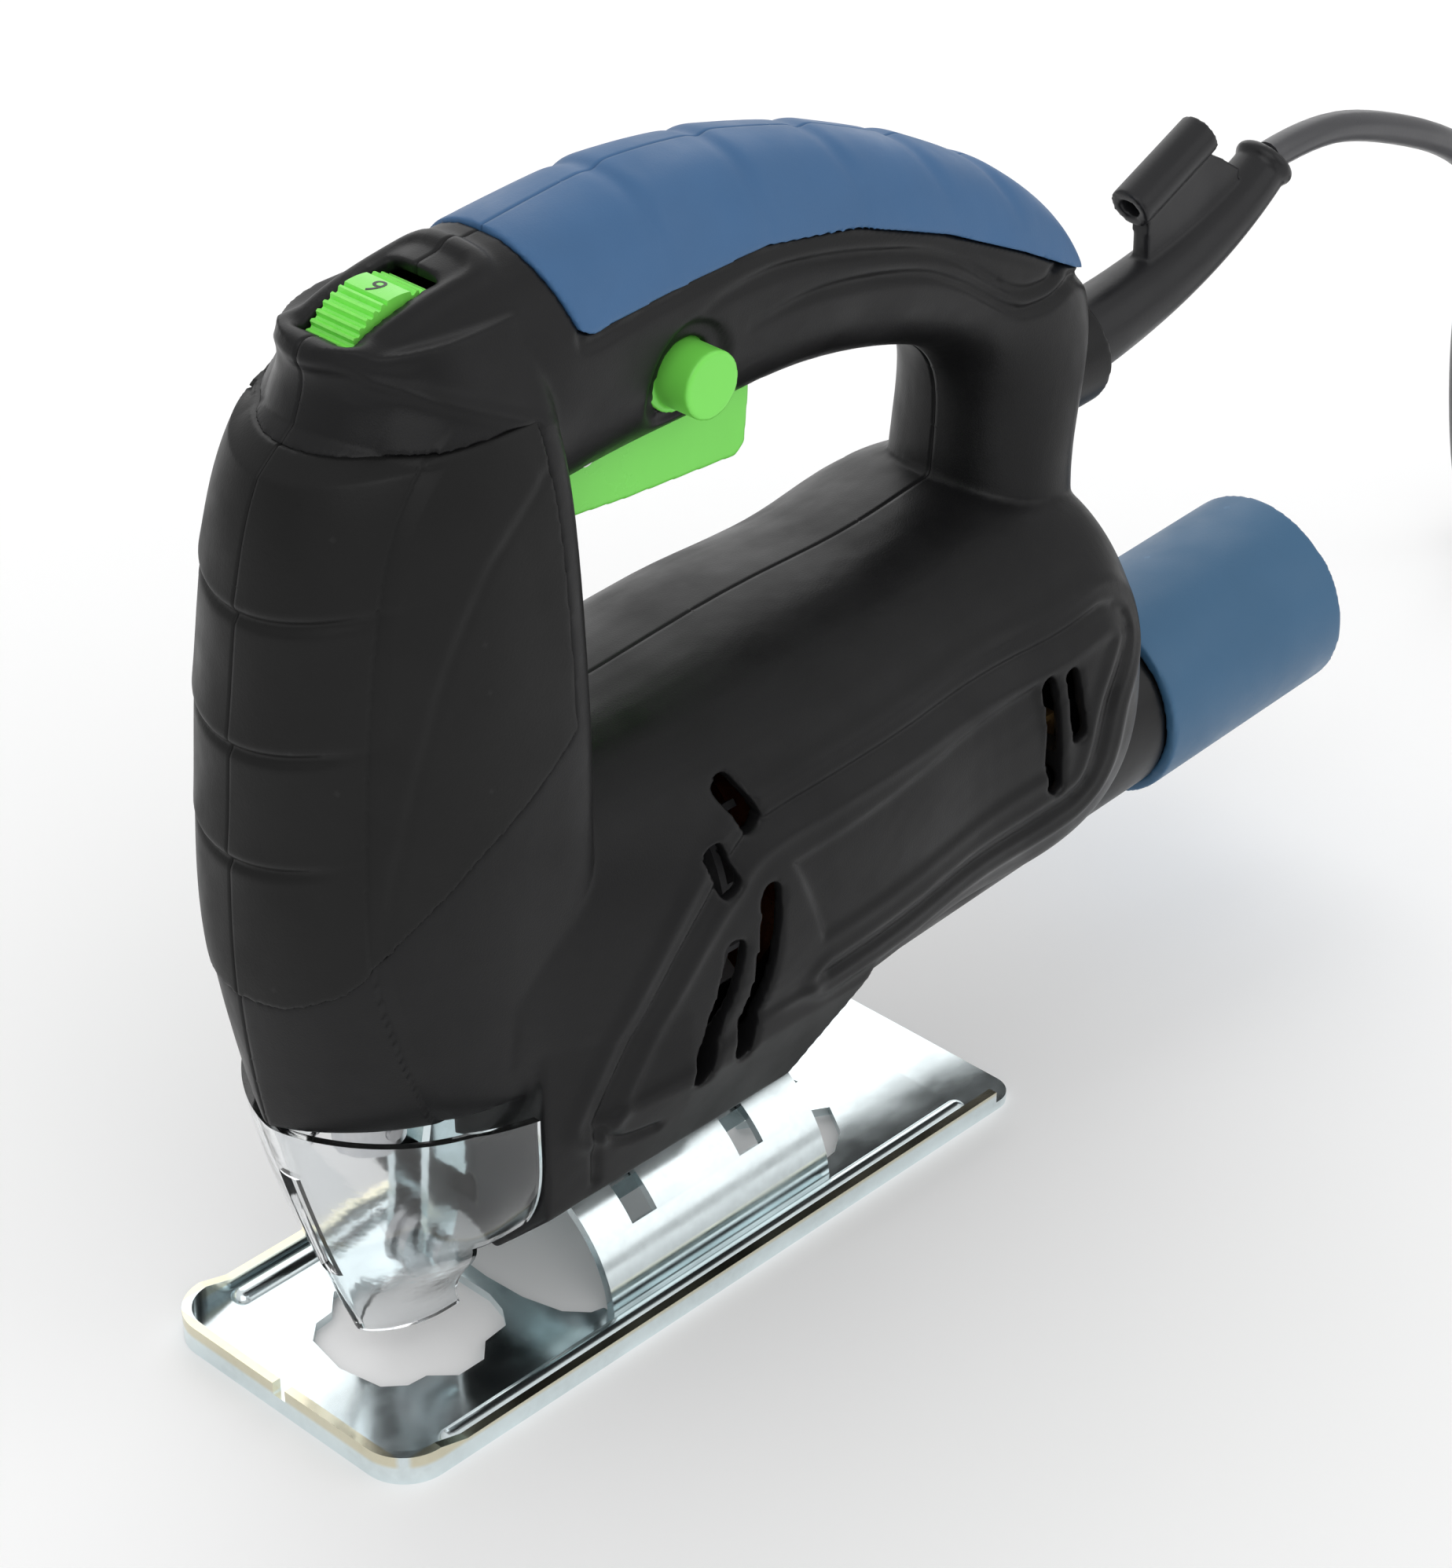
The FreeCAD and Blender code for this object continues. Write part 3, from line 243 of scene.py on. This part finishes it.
def tint_cut_edges(made):
    """The sheared top edge of the sole's rim shows a yellow passivated line."""
    split = made.node("ShaderNodeSeparateXYZ")
    made.link(made.place, split.inputs[0])
    across = made.math("ABSOLUTE", split.outputs["Y"])
    side = made.ranged(across, sole_high.y - 2.2 * MM, sole_high.y - 1.6 * MM, 0, 1)
    front = made.ranged(split.outputs["X"], sole_low.x + 2.2 * MM, sole_low.x + 1.6 * MM, 0, 1)
    above = made.ranged(split.outputs["Z"], 3.2 * MM, 4.0 * MM, 0, 0.5)
    below = made.ranged(split.outputs["Z"], 9.0 * MM, 7.0 * MM, 0, 1)
    rim = made.math("MULTIPLY", made.math("MAXIMUM", side, front), made.math("MULTIPLY", above, below))
    made.tint(rim, rgb(214, 190, 120))


tint_cut_edges(ZINC)

NODE_MATERIALS = {
    HOUSING: ["left_housing", "right_housing"],
    PAD: ["left_nose_pad", "right_nose_pad"],
    GRIP: ["left_grip", "right_grip"],
    GREEN: ["speed_dial", "trigger", "lock_button"],
    TUBE: ["dust_tube"],
    BLACK: ["dust_collar", "cord_tie"],
    RUBBER: ["cord_boot", "plug_body"],
    CORD: ["power_cord", "cord_coil", "cord_tail"],
    INNER: ["fan", "switch_module"],
    BOARD: ["speed_board"],
    AMBER: ["capacitor"],
    PALE: ["cord_clamp"],
    GRAPHITE: ["carbon_brushes"],
    ZINC: ["sole_plate", "roller_bracket", "clamp_plate"],
    STEEL: ["housing_screws", "motor_shaft", "pinion", "drive_gear", "gear_shaft", "counterweight",
            "crank_pin", "scotch_yoke", "blade_clamp", "clamp_set_screws", "roller_axle",
            "guide_roller", "clamp_screws", "trigger_pin", "trigger_spring", "lock_spring"],
    BRIGHT: ["front_bearing", "rear_bearing", "plunger_rod", "plug_pins"],
    IRON: ["stator_core", "armature_core"],
    COPPER: ["field_coils", "armature_windings", "commutator"],
    BRONZE: ["gear_bush", "upper_bush", "lower_bush", "brush_holders"],
    ALUMINIUM: ["bearing_plate"],
    CLEAR: ["chip_guard"],
}


def paint(obj, surface):
    obj.data.materials.clear()
    obj.data.materials.append(surface.material)


MATERIAL_OF = {node: surface for surface, nodes in NODE_MATERIALS.items() for node in nodes}
for node, surface in MATERIAL_OF.items():
    paint(frame["nodes"][node], surface)
BODY_OF = {node: body for body, nodes in frame["record"]["behaviour"]["bodies"].items() for node in nodes}

# ---------------------------------------------------------------- cord

CORD_ROUTE = [(182.5, 0, 152.0), (195.0, 0, 153.2), (213.0, 0, 149.4), (243.7, 0, 136.0),
              (266.0, 5, 118.0), (282.0, 17, 94.0), (294.0, 26, 66.0), (301.0, 29, 40.0),
              (308.0, 30.3, 18.0), (318.0, 30.3, 6.5), (330.0, 30.3, 3.2)]
CORD_RADIUS = 3.1
COIL_X, COIL_Y, COIL_MEAN = 356.0, -14.0, 35.0
COIL_OUTER, COIL_INNER = COIL_MEAN + 3 * CORD_RADIUS, COIL_MEAN - 3 * CORD_RADIUS
COIL_LOW, COIL_HIGH = 0.8 + CORD_RADIUS, 0.6 + 3 * CORD_RADIUS
POINTS_PER_TURN = 16


def coil_points():
    """Three turns inward, one turn up to the second layer, three outward and a half turn to leave."""
    points = []
    for i in range(int(7.5 * POINTS_PER_TURN) + 1):
        turns = i / POINTS_PER_TURN
        inward = min(turns, 3.0) - max(0.0, min(turns - 4.0, 3.0))
        radius = COIL_OUTER - (COIL_OUTER - COIL_INNER) * inward / 3
        height = COIL_LOW + (COIL_HIGH - COIL_LOW) * min(1.0, max(0.0, turns - 3.0))
        angle = math.pi / 2 - 2 * math.pi * turns
        points.append(at(COIL_X + radius * math.cos(angle), COIL_Y + radius * math.sin(angle), height))
    return points


def tail_points():
    """Half a circle back over the coil, rising to the plug that lies on it."""
    low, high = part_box("cord_tail")
    end = Vector((low.x, (low.y + high.y) / 2, (low.z + high.z) / 2))
    start = at(COIL_X, COIL_Y - COIL_OUTER, COIL_HIGH)
    radius, steps = (end.y - start.y) / 2, POINTS_PER_TURN // 2
    points = []
    for i in range(1, steps + 1):
        angle = math.pi * i / steps
        points.append(Vector((start.x - radius * math.sin(angle),
                              start.y + radius * (1 - math.cos(angle)),
                              start.z + (end.z - start.z) * math.sin(angle / 2))))
    return points + [end + Vector(((high.x - low.x) / 2, 0, 0)), end + Vector((high.x - low.x, 0, 0))]


def make_cord():
    points = [at(*corner) for corner in CORD_ROUTE] + coil_points() + tail_points()
    curve = bpy.data.curves.new("cord", "CURVE")
    curve.dimensions = "3D"
    curve.bevel_depth = CORD_RADIUS * MM
    curve.bevel_resolution = 5
    curve.resolution_u = 6
    curve.use_fill_caps = True
    spline = curve.splines.new("NURBS")
    spline.points.add(len(points) - 1)
    for point, place in zip(spline.points, points):
        point.co = (*place, 1)
    spline.order_u = 3
    spline.use_endpoint_u = True
    cord = bpy.data.objects.new("cord", curve)
    collection.objects.link(cord)
    paint(cord, CORD)
    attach(cord, "housing")
    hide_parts("power_cord", "cord_coil", "cord_tail")
    return cord


cord = make_cord()

# ---------------------------------------------------------------- moulded pieces


def smooth_path(points, steps=10):
    """Points along a Catmull-Rom curve through the given points."""
    rows = np.array([points[0]] + list(points) + [points[-1]], float)
    path = []
    for p0, p1, p2, p3 in zip(rows, rows[1:], rows[2:], rows[3:]):
        for i in range(steps):
            t = i / steps
            path.append(0.5 * (2 * p1 + (p2 - p0) * t + (2 * p0 - 5 * p1 + 4 * p2 - p3) * t * t
                               + (3 * p1 - p0 - 3 * p2 + p3) * t ** 3))
    path.append(rows[-2])
    return np.array(path)


def distance_to(path, first, second):
    """Distance in mm from each (first, second) pair to a path in the same plane."""
    best = np.full(len(first), 1e9)
    for (ax, ay), (bx, by) in zip(path, path[1:]):
        dx, dy = bx - ax, by - ay
        share = np.clip(((first - ax) * dx + (second - ay) * dy) / max(dx * dx + dy * dy, 1e-9), 0, 1)
        best = np.minimum(best, np.hypot(first - ax - dx * share, second - ay - dy * share))
    return best


def trough(distance, width, depth):
    return -depth * np.exp(-(distance / width) ** 2)


def inside(outline, first, second):
    """Signed distance in mm to a closed outline, positive inside it."""
    ring = np.array(list(outline) + [outline[0]], float)
    within = np.zeros(len(first), bool)
    for (ax, ay), (bx, by) in zip(ring, ring[1:]):
        crosses = (ay > second) != (by > second)
        edge = ax + (second - ay) * (bx - ax) / (by - ay if by != ay else 1e-9)
        within ^= crosses & (first < edge)
    away = distance_to(ring, first, second)
    return np.where(within, away, -away)


def step(signed, soft):
    return 1 / (1 + np.exp(-signed / soft))


WELD = 1e-7


def rounded_form(name, nodes, voxel, smooth, cutter=None):
    """One even mesh over the forms of some nodes less a cutter's form, with rounded edges."""
    joined = bmesh.new()
    for node in nodes:
        before = len(joined.verts)
        joined.from_mesh(frame["nodes"][node].data)
        joined.verts.ensure_lookup_table()
        bmesh.ops.remove_doubles(joined, verts=joined.verts[before:], dist=WELD)
    mesh = bpy.data.meshes.new(name)
    joined.to_mesh(mesh)
    joined.free()
    form = bpy.data.objects.new(name, mesh)
    collection.objects.link(form)
    if cutter:
        opened = form.modifiers.new("openings", "BOOLEAN")
        opened.operation, opened.object, opened.solver = "DIFFERENCE", cutter, "EXACT"
    remesh = form.modifiers.new("voxels", "REMESH")
    remesh.mode, remesh.voxel_size = "VOXEL", voxel * MM
    soften = form.modifiers.new("soften", "SMOOTH")
    soften.factor, soften.iterations = 0.5, smooth
    made = bpy.data.meshes.new_from_object(form.evaluated_get(bpy.context.evaluated_depsgraph_get()))
    bpy.data.objects.remove(form)
    return made


def add_relief(mesh, shape):
    """Moves a mesh as shape(x, y, z, normals) says: a rise along the normals and a shift, in mm.

    x, y and z are in mm from the middle of the sole."""
    count = len(mesh.vertices) * 3
    places, normals = np.empty(count, np.float32), np.empty(count, np.float32)
    mesh.vertices.foreach_get("co", places)
    mesh.vertex_normals.foreach_get("vector", normals)
    places, normals = places.reshape(-1, 3), normals.reshape(-1, 3)
    x, y, z = ((places - np.array([SOLE_MIDDLE, 0, 0])) / MM).T
    rise, shift = shape(x, y, z, normals)
    mesh.vertices.foreach_set("co", (places + (normals * rise[:, None] + shift) * MM).ravel())


def half_of(mesh, side):
    """The half of a mesh on one side (-1 left, 1 right), its edge drawn in to leave a seam."""
    half = bmesh.new()
    half.from_mesh(mesh)
    bmesh.ops.bisect_plane(half, geom=half.verts[:] + half.edges[:] + half.faces[:], dist=WELD,
                           plane_co=(0, 0, 0), plane_no=(0, side, 0), clear_inner=True)
    half.normal_update()
    rim = {vert for edge in half.edges if edge.is_boundary for vert in edge.verts}
    for vert in rim:
        vert.co -= vert.normal * SEAM_DEPTH * MM
        vert.co.y = side * SEAM_GAP * MM
    made = bpy.data.meshes.new(mesh.name)
    half.to_mesh(made)
    half.free()
    return made


def moulded(node, mesh):
    """Shows a mesh in place of a CAD node."""
    piece = bpy.data.objects.new(node + "_form", mesh)
    collection.objects.link(piece)
    for polygon in mesh.polygons:
        polygon.use_smooth = True
    paint(piece, MATERIAL_OF[node])
    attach(piece, BODY_OF[node])
    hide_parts(node)


def moulded_pair(name, voxel, smooth, shape, cutter=None):
    """The left and right halves of a moulding, shaped as one and parted on the centre plane."""
    whole = rounded_form(name, (f"left_{name}", f"right_{name}"), voxel, smooth, cutter)
    add_relief(whole, shape)
    moulded(f"left_{name}", half_of(whole, -1))
    moulded(f"right_{name}", half_of(whole, 1))


SEAM_DEPTH, SEAM_GAP = 0.3, 0.04

# Relief on the sides of the body works straight across, fading in over this distance from the middle.
SIDE_START, SIDE_RAMP = 6, 4

# Relief lines on the side of the body, as (x, z).
PANEL_LINE = [(-29.7, 51.7), (-16.4, 76.4), (-6, 89), (4.7, 96.4), (24, 98.6), (48, 99.8), (80, 101),
              (97.6, 101.7), (103.7, 94.6), (95, 84.3), (89.6, 69.5), (78, 65.5), (55, 63.7), (21.7, 60)]
LABEL = [(12.5, 87.5), (76.5, 94.5), (79, 75.5), (19, 69.5)]
GRIP_EDGE = [(-16.5, 191), (-14, 189.6), (5, 190.2), (28, 189.8), (50, 185.4), (72, 176.8), (92, 166.8),
             (108, 157.8), (119, 152.4)]
CHANNEL_UPPER = [(8, 183.5), (18, 186.2), (34.7, 185.4), (58.8, 179.3), (73.5, 173), (88, 162.6), (97, 160.2),
                 (106, 161.5), (118, 157)]
CHANNEL_LOWER = [(23.5, 178.4), (41, 178.4), (62.8, 173.7), (75.6, 167.4), (88.9, 158.2), (97, 156.6),
                 (107, 157.4), (118, 152)]
FOOT_LINE = [(-28.7, 38), (-29.3, 50), (-24.5, 45.4), (-16, 44)]
BROW_LINE = [(-62, 196.6), (-58.9, 196.2), (-54, 194.5), (-46.2, 190.9), (-37, 186.4), (-27, 181.4)]
DIAL_X = -42.0
BEZEL_START, BEZEL_RAMP = 186, 10
BUTTON_X, BUTTON_Z, BUTTON_RECESS = 9.0, 174.6, 9.4
SHOULDER_TOP, SHOULDER_FOOT, SHOULDER_DEPTH, SHOULDER_REACH = 186.4, 180.4, 3.2, 22.0
WALL_TOP, NOSE_AXIS = 197.0, -38.0


def shoulder(x, y, z):
    """Shift that sets the top of the body in behind a crescent ledge over the nose."""
    share = np.clip(np.abs(y) / SHOULDER_REACH, 0, 1)
    top = SHOULDER_TOP - 4.3 * share ** 2
    foot = SHOULDER_FOOT + 2.8 * share ** 2
    climb = np.clip((z - foot) / (top - foot), 0, 1)
    wall = np.clip((WALL_TOP - z) / (WALL_TOP - top), 0, 1)
    taper = np.clip((1 - share) * 3.0, 0, 1) * step(-48 - x, 1.5)
    outward = np.stack([x - NOSE_AXIS, y, np.zeros(len(x))], axis=1)
    outward /= np.hypot(x - NOSE_AXIS, y)[:, None] + 1e-6
    return outward * (-SHOULDER_DEPTH * climb * wall * taper)[:, None]


def bezel(x, y, z):
    """Raised frame round the thumbwheel with a sunken ledge inside it."""
    def frame_distance(half_x, half_y, corner):
        """Signed distance to a rounded rectangle round the dial, positive inside it."""
        out_x = np.abs(x - DIAL_X) - half_x + corner
        out_y = np.abs(y) - half_y + corner
        return (corner - np.hypot(np.clip(out_x, 0, None), np.clip(out_y, 0, None))
                - np.minimum(np.maximum(out_x, out_y), 0))

    height = (1.4 * step(frame_distance(16.6, 10.0, 4.5), 0.45)
              - 1.1 * step(frame_distance(13.0, 7.3, 2.6), 0.4))
    shift = np.zeros((len(x), 3))
    shift[:, 2] = height * np.clip((z - BEZEL_START) / BEZEL_RAMP, 0, 1)
    return shift


def shape_housing(x, y, z, normals):
    frame_path = smooth_path(PANEL_LINE)
    line = distance_to(frame_path, x, z)
    framed = step(inside(frame_path[::4], x, z), 0.4)
    panel = (trough(line, 0.9, 0.6) - 1.0 * framed + trough(line - 4.4, 1.7, -0.7)
             - 1.0 * step(inside(LABEL, x, z), 0.4))
    foot = trough(distance_to(smooth_path(FOOT_LINE), x, z), 0.9, 0.9)
    upper = trough(distance_to(smooth_path(CHANNEL_UPPER), x, z), 1.1, 1.3)
    lower = trough(distance_to(smooth_path(CHANNEL_LOWER), x, z), 1.1, 1.3)
    edge = trough(distance_to(smooth_path(GRIP_EDGE), x, z), 1.1, 0.6)
    handle = (upper * step(x - 22, 6) + lower * step(x - 34, 6) + edge) * step(z - 135, 3)
    brow = 0.8 * np.exp(-(distance_to(smooth_path(BROW_LINE), x, z) / 1.4) ** 2) * step(-27 - x, 2)
    from_button = np.hypot(x - BUTTON_X, z - BUTTON_Z)
    button = -1.8 * step(BUTTON_RECESS - from_button, 0.35) * (y < 0)
    shift = shoulder(x, y, z) + bezel(x, y, z)
    aside = np.sign(y) * np.clip((np.abs(y) - SIDE_START) / SIDE_RAMP, 0, 1)
    shift[:, 1] += aside * (panel + foot + handle + button)
    return brow * (np.abs(normals[:, 2]) < 0.9), shift


NOSE_CREASES = [(159.4, 19.0), (136.8, 17.0), (116.4, 14.5)]
FACET_LINE = [(-26, 178), (-34, 175), (-44.6, 167), (-51, 158), (-56, 148), (-60.5, 134), (-64.5, 119),
              (-67.5, 104), (-68.5, 92)]


def shape_nose_pad(x, y, z, normals):
    forward = np.clip(-normals[:, 0] * 1.6, 0, 1)
    rise = np.zeros(len(x))
    for height, reach in NOSE_CREASES:
        below = z - height - 0.006 * y ** 2
        lip = 0.7 * np.exp(-np.clip(below, 0, None) / 5.0) * step(below, 0.25)
        rise = rise + forward * (trough(below + 0.6, 1.1, 0.8) + lip) * step(reach - abs(y), 1.6)
    facet = distance_to(smooth_path(FACET_LINE), x, z)
    facet_x, facet_z = zip(*reversed(FACET_LINE[1:]))
    ahead = step(np.interp(z, facet_z, facet_x) - x, 0.8)
    return rise + trough(facet, 1.1, 0.3) + 0.5 * ahead * np.exp(-facet / 6), shoulder(x, y, z)


# Finger creases over the grip: where each crosses the ridge, and how far down the side it runs.
GRIP_CREASES = [(4.6, 14.0), (28.6, 13.6), (52.5, 12.6), (74.2, 12.6), (92.6, 12.4)]


def shape_grip(x, y, z, normals):
    rise = np.zeros(len(x))
    for crease, reach in GRIP_CREASES:
        behind = x - crease - 0.006 * y ** 2 + 0.02 * np.abs(y)
        swell = 0.55 * np.exp(-np.clip(behind, 0, None) / 7.0) * step(behind, 0.5)
        rise += (trough(behind + 1.0, 1.9, 0.5) + swell) * step(reach - np.abs(y), 1.2)
    edge = distance_to(smooth_path(GRIP_EDGE), x, z)
    return rise + trough(edge, 1.4, 0.4), 0.0


# Vents through the side walls: centre line as (x, z), and width.
VENTS = [([(7.2, 86), (5.4, 67), (2.0, 50.5)], 4.5), ([(-1.0, 78), (-3.6, 63), (-8.4, 50)], 4.5),
         ([(2.2, 105.5), (6.0, 96)], 4.6), ([(-4.6, 97), (-1.0, 87)], 4.6),
         ([(79.5, 95), (80.7, 70.5)], 3.7), ([(85.3, 94.5), (86.3, 79.5)], 3.7)]
VENT_INNER, VENT_OUTER = 17.0, 42.0


def vent_cutters():
    """Closed slot forms that reach through both side walls."""
    form = bmesh.new()
    for centre_line, width in VENTS:
        path = smooth_path(centre_line, 12)
        along = np.gradient(path, axis=0)
        beside = np.stack([along[:, 1], -along[:, 0]], axis=1) / np.hypot(*along.T)[:, None]
        place = np.linspace(-1, 1, len(path))
        half = (width / 2 * np.sqrt(1 - np.abs(place) ** 14 * 0.96))[:, None]
        outline = np.concatenate([path + beside * half, (path - beside * half)[::-1]])
        for side in (-1, 1):
            rings = [[form.verts.new(at(px, side * depth, pz)) for px, pz in outline]
                     for depth in (VENT_INNER, VENT_OUTER)]
            form.faces.new(rings[0])
            form.faces.new(rings[1])
            for i in range(len(outline)):
                j = (i + 1) % len(outline)
                form.faces.new((rings[0][i], rings[0][j], rings[1][j], rings[1][i]))
    bmesh.ops.recalc_face_normals(form, faces=form.faces)
    mesh = bpy.data.meshes.new("vent_cutters")
    form.to_mesh(mesh)
    form.free()
    cutters = bpy.data.objects.new("vent_cutters", mesh)
    collection.objects.link(cutters)
    return cutters


cutters = vent_cutters()
moulded_pair("housing", 0.62, 5, shape_housing, cutters)
bpy.data.objects.remove(cutters)
moulded_pair("nose_pad", 0.5, 2, shape_nose_pad)
moulded_pair("grip", 0.55, 2, shape_grip)
for node, voxel, smooth in (("trigger", 0.45, 7), ("lock_button", 0.4, 3), ("cord_boot", 0.5, 3),
                            ("dust_tube", 0.6, 3), ("dust_collar", 0.6, 3), ("plug_body", 0.9, 3)):
    moulded(node, rounded_form(node, (node,), voxel, smooth))

# ---------------------------------------------------------------- small pieces

POINTS_PER_COIL = 20


def helix(name, node, along, coils, wire):
    """A wound wire in place of a CAD spring, between the ends of its box."""
    low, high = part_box(node)
    middle, size = (low + high) / 2, high - low
    radius = size.x / 2 - wire
    curve = bpy.data.curves.new(name, "CURVE")
    curve.dimensions, curve.bevel_depth, curve.bevel_resolution = "3D", wire, 3
    spline = curve.splines.new("POLY")
    steps = coils * POINTS_PER_COIL
    spline.points.add(steps)
    for i, point in enumerate(spline.points):
        angle, share = 2 * math.pi * i / POINTS_PER_COIL, i / steps - 0.5
        ring = (radius * math.cos(angle), radius * math.sin(angle))
        if along == "z":
            place = middle + Vector((*ring, share * (size.z - 2 * wire)))
        else:
            place = middle + Vector((ring[0], share * (size.y - 2 * wire), ring[1]))
        point.co = (*place, 1)
    spring = bpy.data.objects.new(name, curve)
    collection.objects.link(spring)
    paint(spring, STEEL)
    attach(spring, BODY_OF[node])
    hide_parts(node)


helix("trigger_coil_spring", "trigger_spring", "z", 7, 0.45 * MM)
helix("lock_coil_spring", "lock_spring", "y", 3, 0.35 * MM)


PATCH_TURN = math.radians(52)
NUMBER_SIZE, NUMBER_THICKNESS, NUMBER_SUNK = 5.6, 0.3, 0.25


def dial_numbers():
    """The numbers 6 to 1 on the smooth patches of the thumbwheel, 6 on top at rest."""
    low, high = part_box("speed_dial")
    middle, radius = (low + high) / 2, (high.z - low.z) / 2
    for i in range(6):
        font = bpy.data.curves.new(f"dial_number_{6 - i}", "FONT")
        font.body, font.size, font.extrude = str(6 - i), NUMBER_SIZE * MM, NUMBER_THICKNESS * MM
        font.align_x, font.align_y = "CENTER", "CENTER"
        text = bpy.data.objects.new(f"number_form_{6 - i}", font)
        collection.objects.link(text)
        mesh = bpy.data.meshes.new_from_object(text.evaluated_get(bpy.context.evaluated_depsgraph_get()))
        bpy.data.objects.remove(text)
        fine = bmesh.new()
        fine.from_mesh(mesh)
        bmesh.ops.triangulate(fine, faces=fine.faces)
        bmesh.ops.subdivide_edges(fine, edges=fine.edges, cuts=2, use_grid_fill=True)
        for vertex in fine.verts:
            turn = PATCH_TURN * i - vertex.co.y / radius
            reach = radius - NUMBER_SUNK * MM + vertex.co.z
            vertex.co = middle + Vector((reach * math.sin(turn), vertex.co.x, reach * math.cos(turn)))
        fine.to_mesh(mesh)
        fine.free()
        number = bpy.data.objects.new(f"dial_number_{6 - i}", mesh)
        collection.objects.link(number)
        paint(number, BLACK)
        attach(number, "dial")


dial_numbers()

# ---------------------------------------------------------------- stage


def make_sky():
    """White to the camera, and for light and reflections pale above and dimmer at the horizon."""
    world = bpy.data.worlds.new("world")
    scene.world = world
    world.use_nodes = True
    tree = world.node_tree
    background = tree.nodes["Background"]
    background.inputs["Color"].default_value = (1, 1, 1, 1)
    split = tree.nodes.new("ShaderNodeSeparateXYZ")
    height = tree.nodes.new("ShaderNodeMapRange")
    for key, value in (("From Min", 0.0), ("From Max", 0.8), ("To Min", 0.5), ("To Max", 0.85)):
        height.inputs[key].default_value = value
    seen = tree.nodes.new("ShaderNodeMath")
    seen.operation = "MAXIMUM"
    tree.links.new(tree.nodes.new("ShaderNodeTexCoord").outputs["Generated"], split.inputs[0])
    tree.links.new(split.outputs["Z"], height.inputs["Value"])
    tree.links.new(tree.nodes.new("ShaderNodeLightPath").outputs["Is Camera Ray"], seen.inputs[0])
    tree.links.new(height.outputs["Result"], seen.inputs[1])
    tree.links.new(seen.outputs[0], background.inputs["Strength"])


def make_stage():
    data = bpy.data.meshes.new("floor")
    corners = [(-4, -4, 0), (4, -4, 0), (4, 4, 0), (-4, 4, 0)]
    data.from_pydata(corners, [], [(0, 1, 2, 3)])
    floor = bpy.data.objects.new("floor", data)
    collection.objects.link(floor)
    paint(floor, Surface("floor", (0.97, 0.97, 0.97, 1), 0.8))
    make_sky()
    for name, place, size, power in (("key", (-0.9, -1.0, 1.3), 1.4, 6), ("fill", (0.9, -1.3, 0.8), 1.2, 3),
                                     ("rear", (0.72, 0.75, 0.75), 1.3, 5)):
        lamp = bpy.data.lights.new(name, "AREA")
        lamp.size, lamp.energy = size, power
        light = bpy.data.objects.new(name, lamp)
        light.location = place
        light.rotation_euler = (Vector((0, 0, 0.1)) - light.location).to_track_quat("-Z", "Y").to_euler()
        collection.objects.link(light)
    scene.view_settings.view_transform = "Standard"


make_stage()
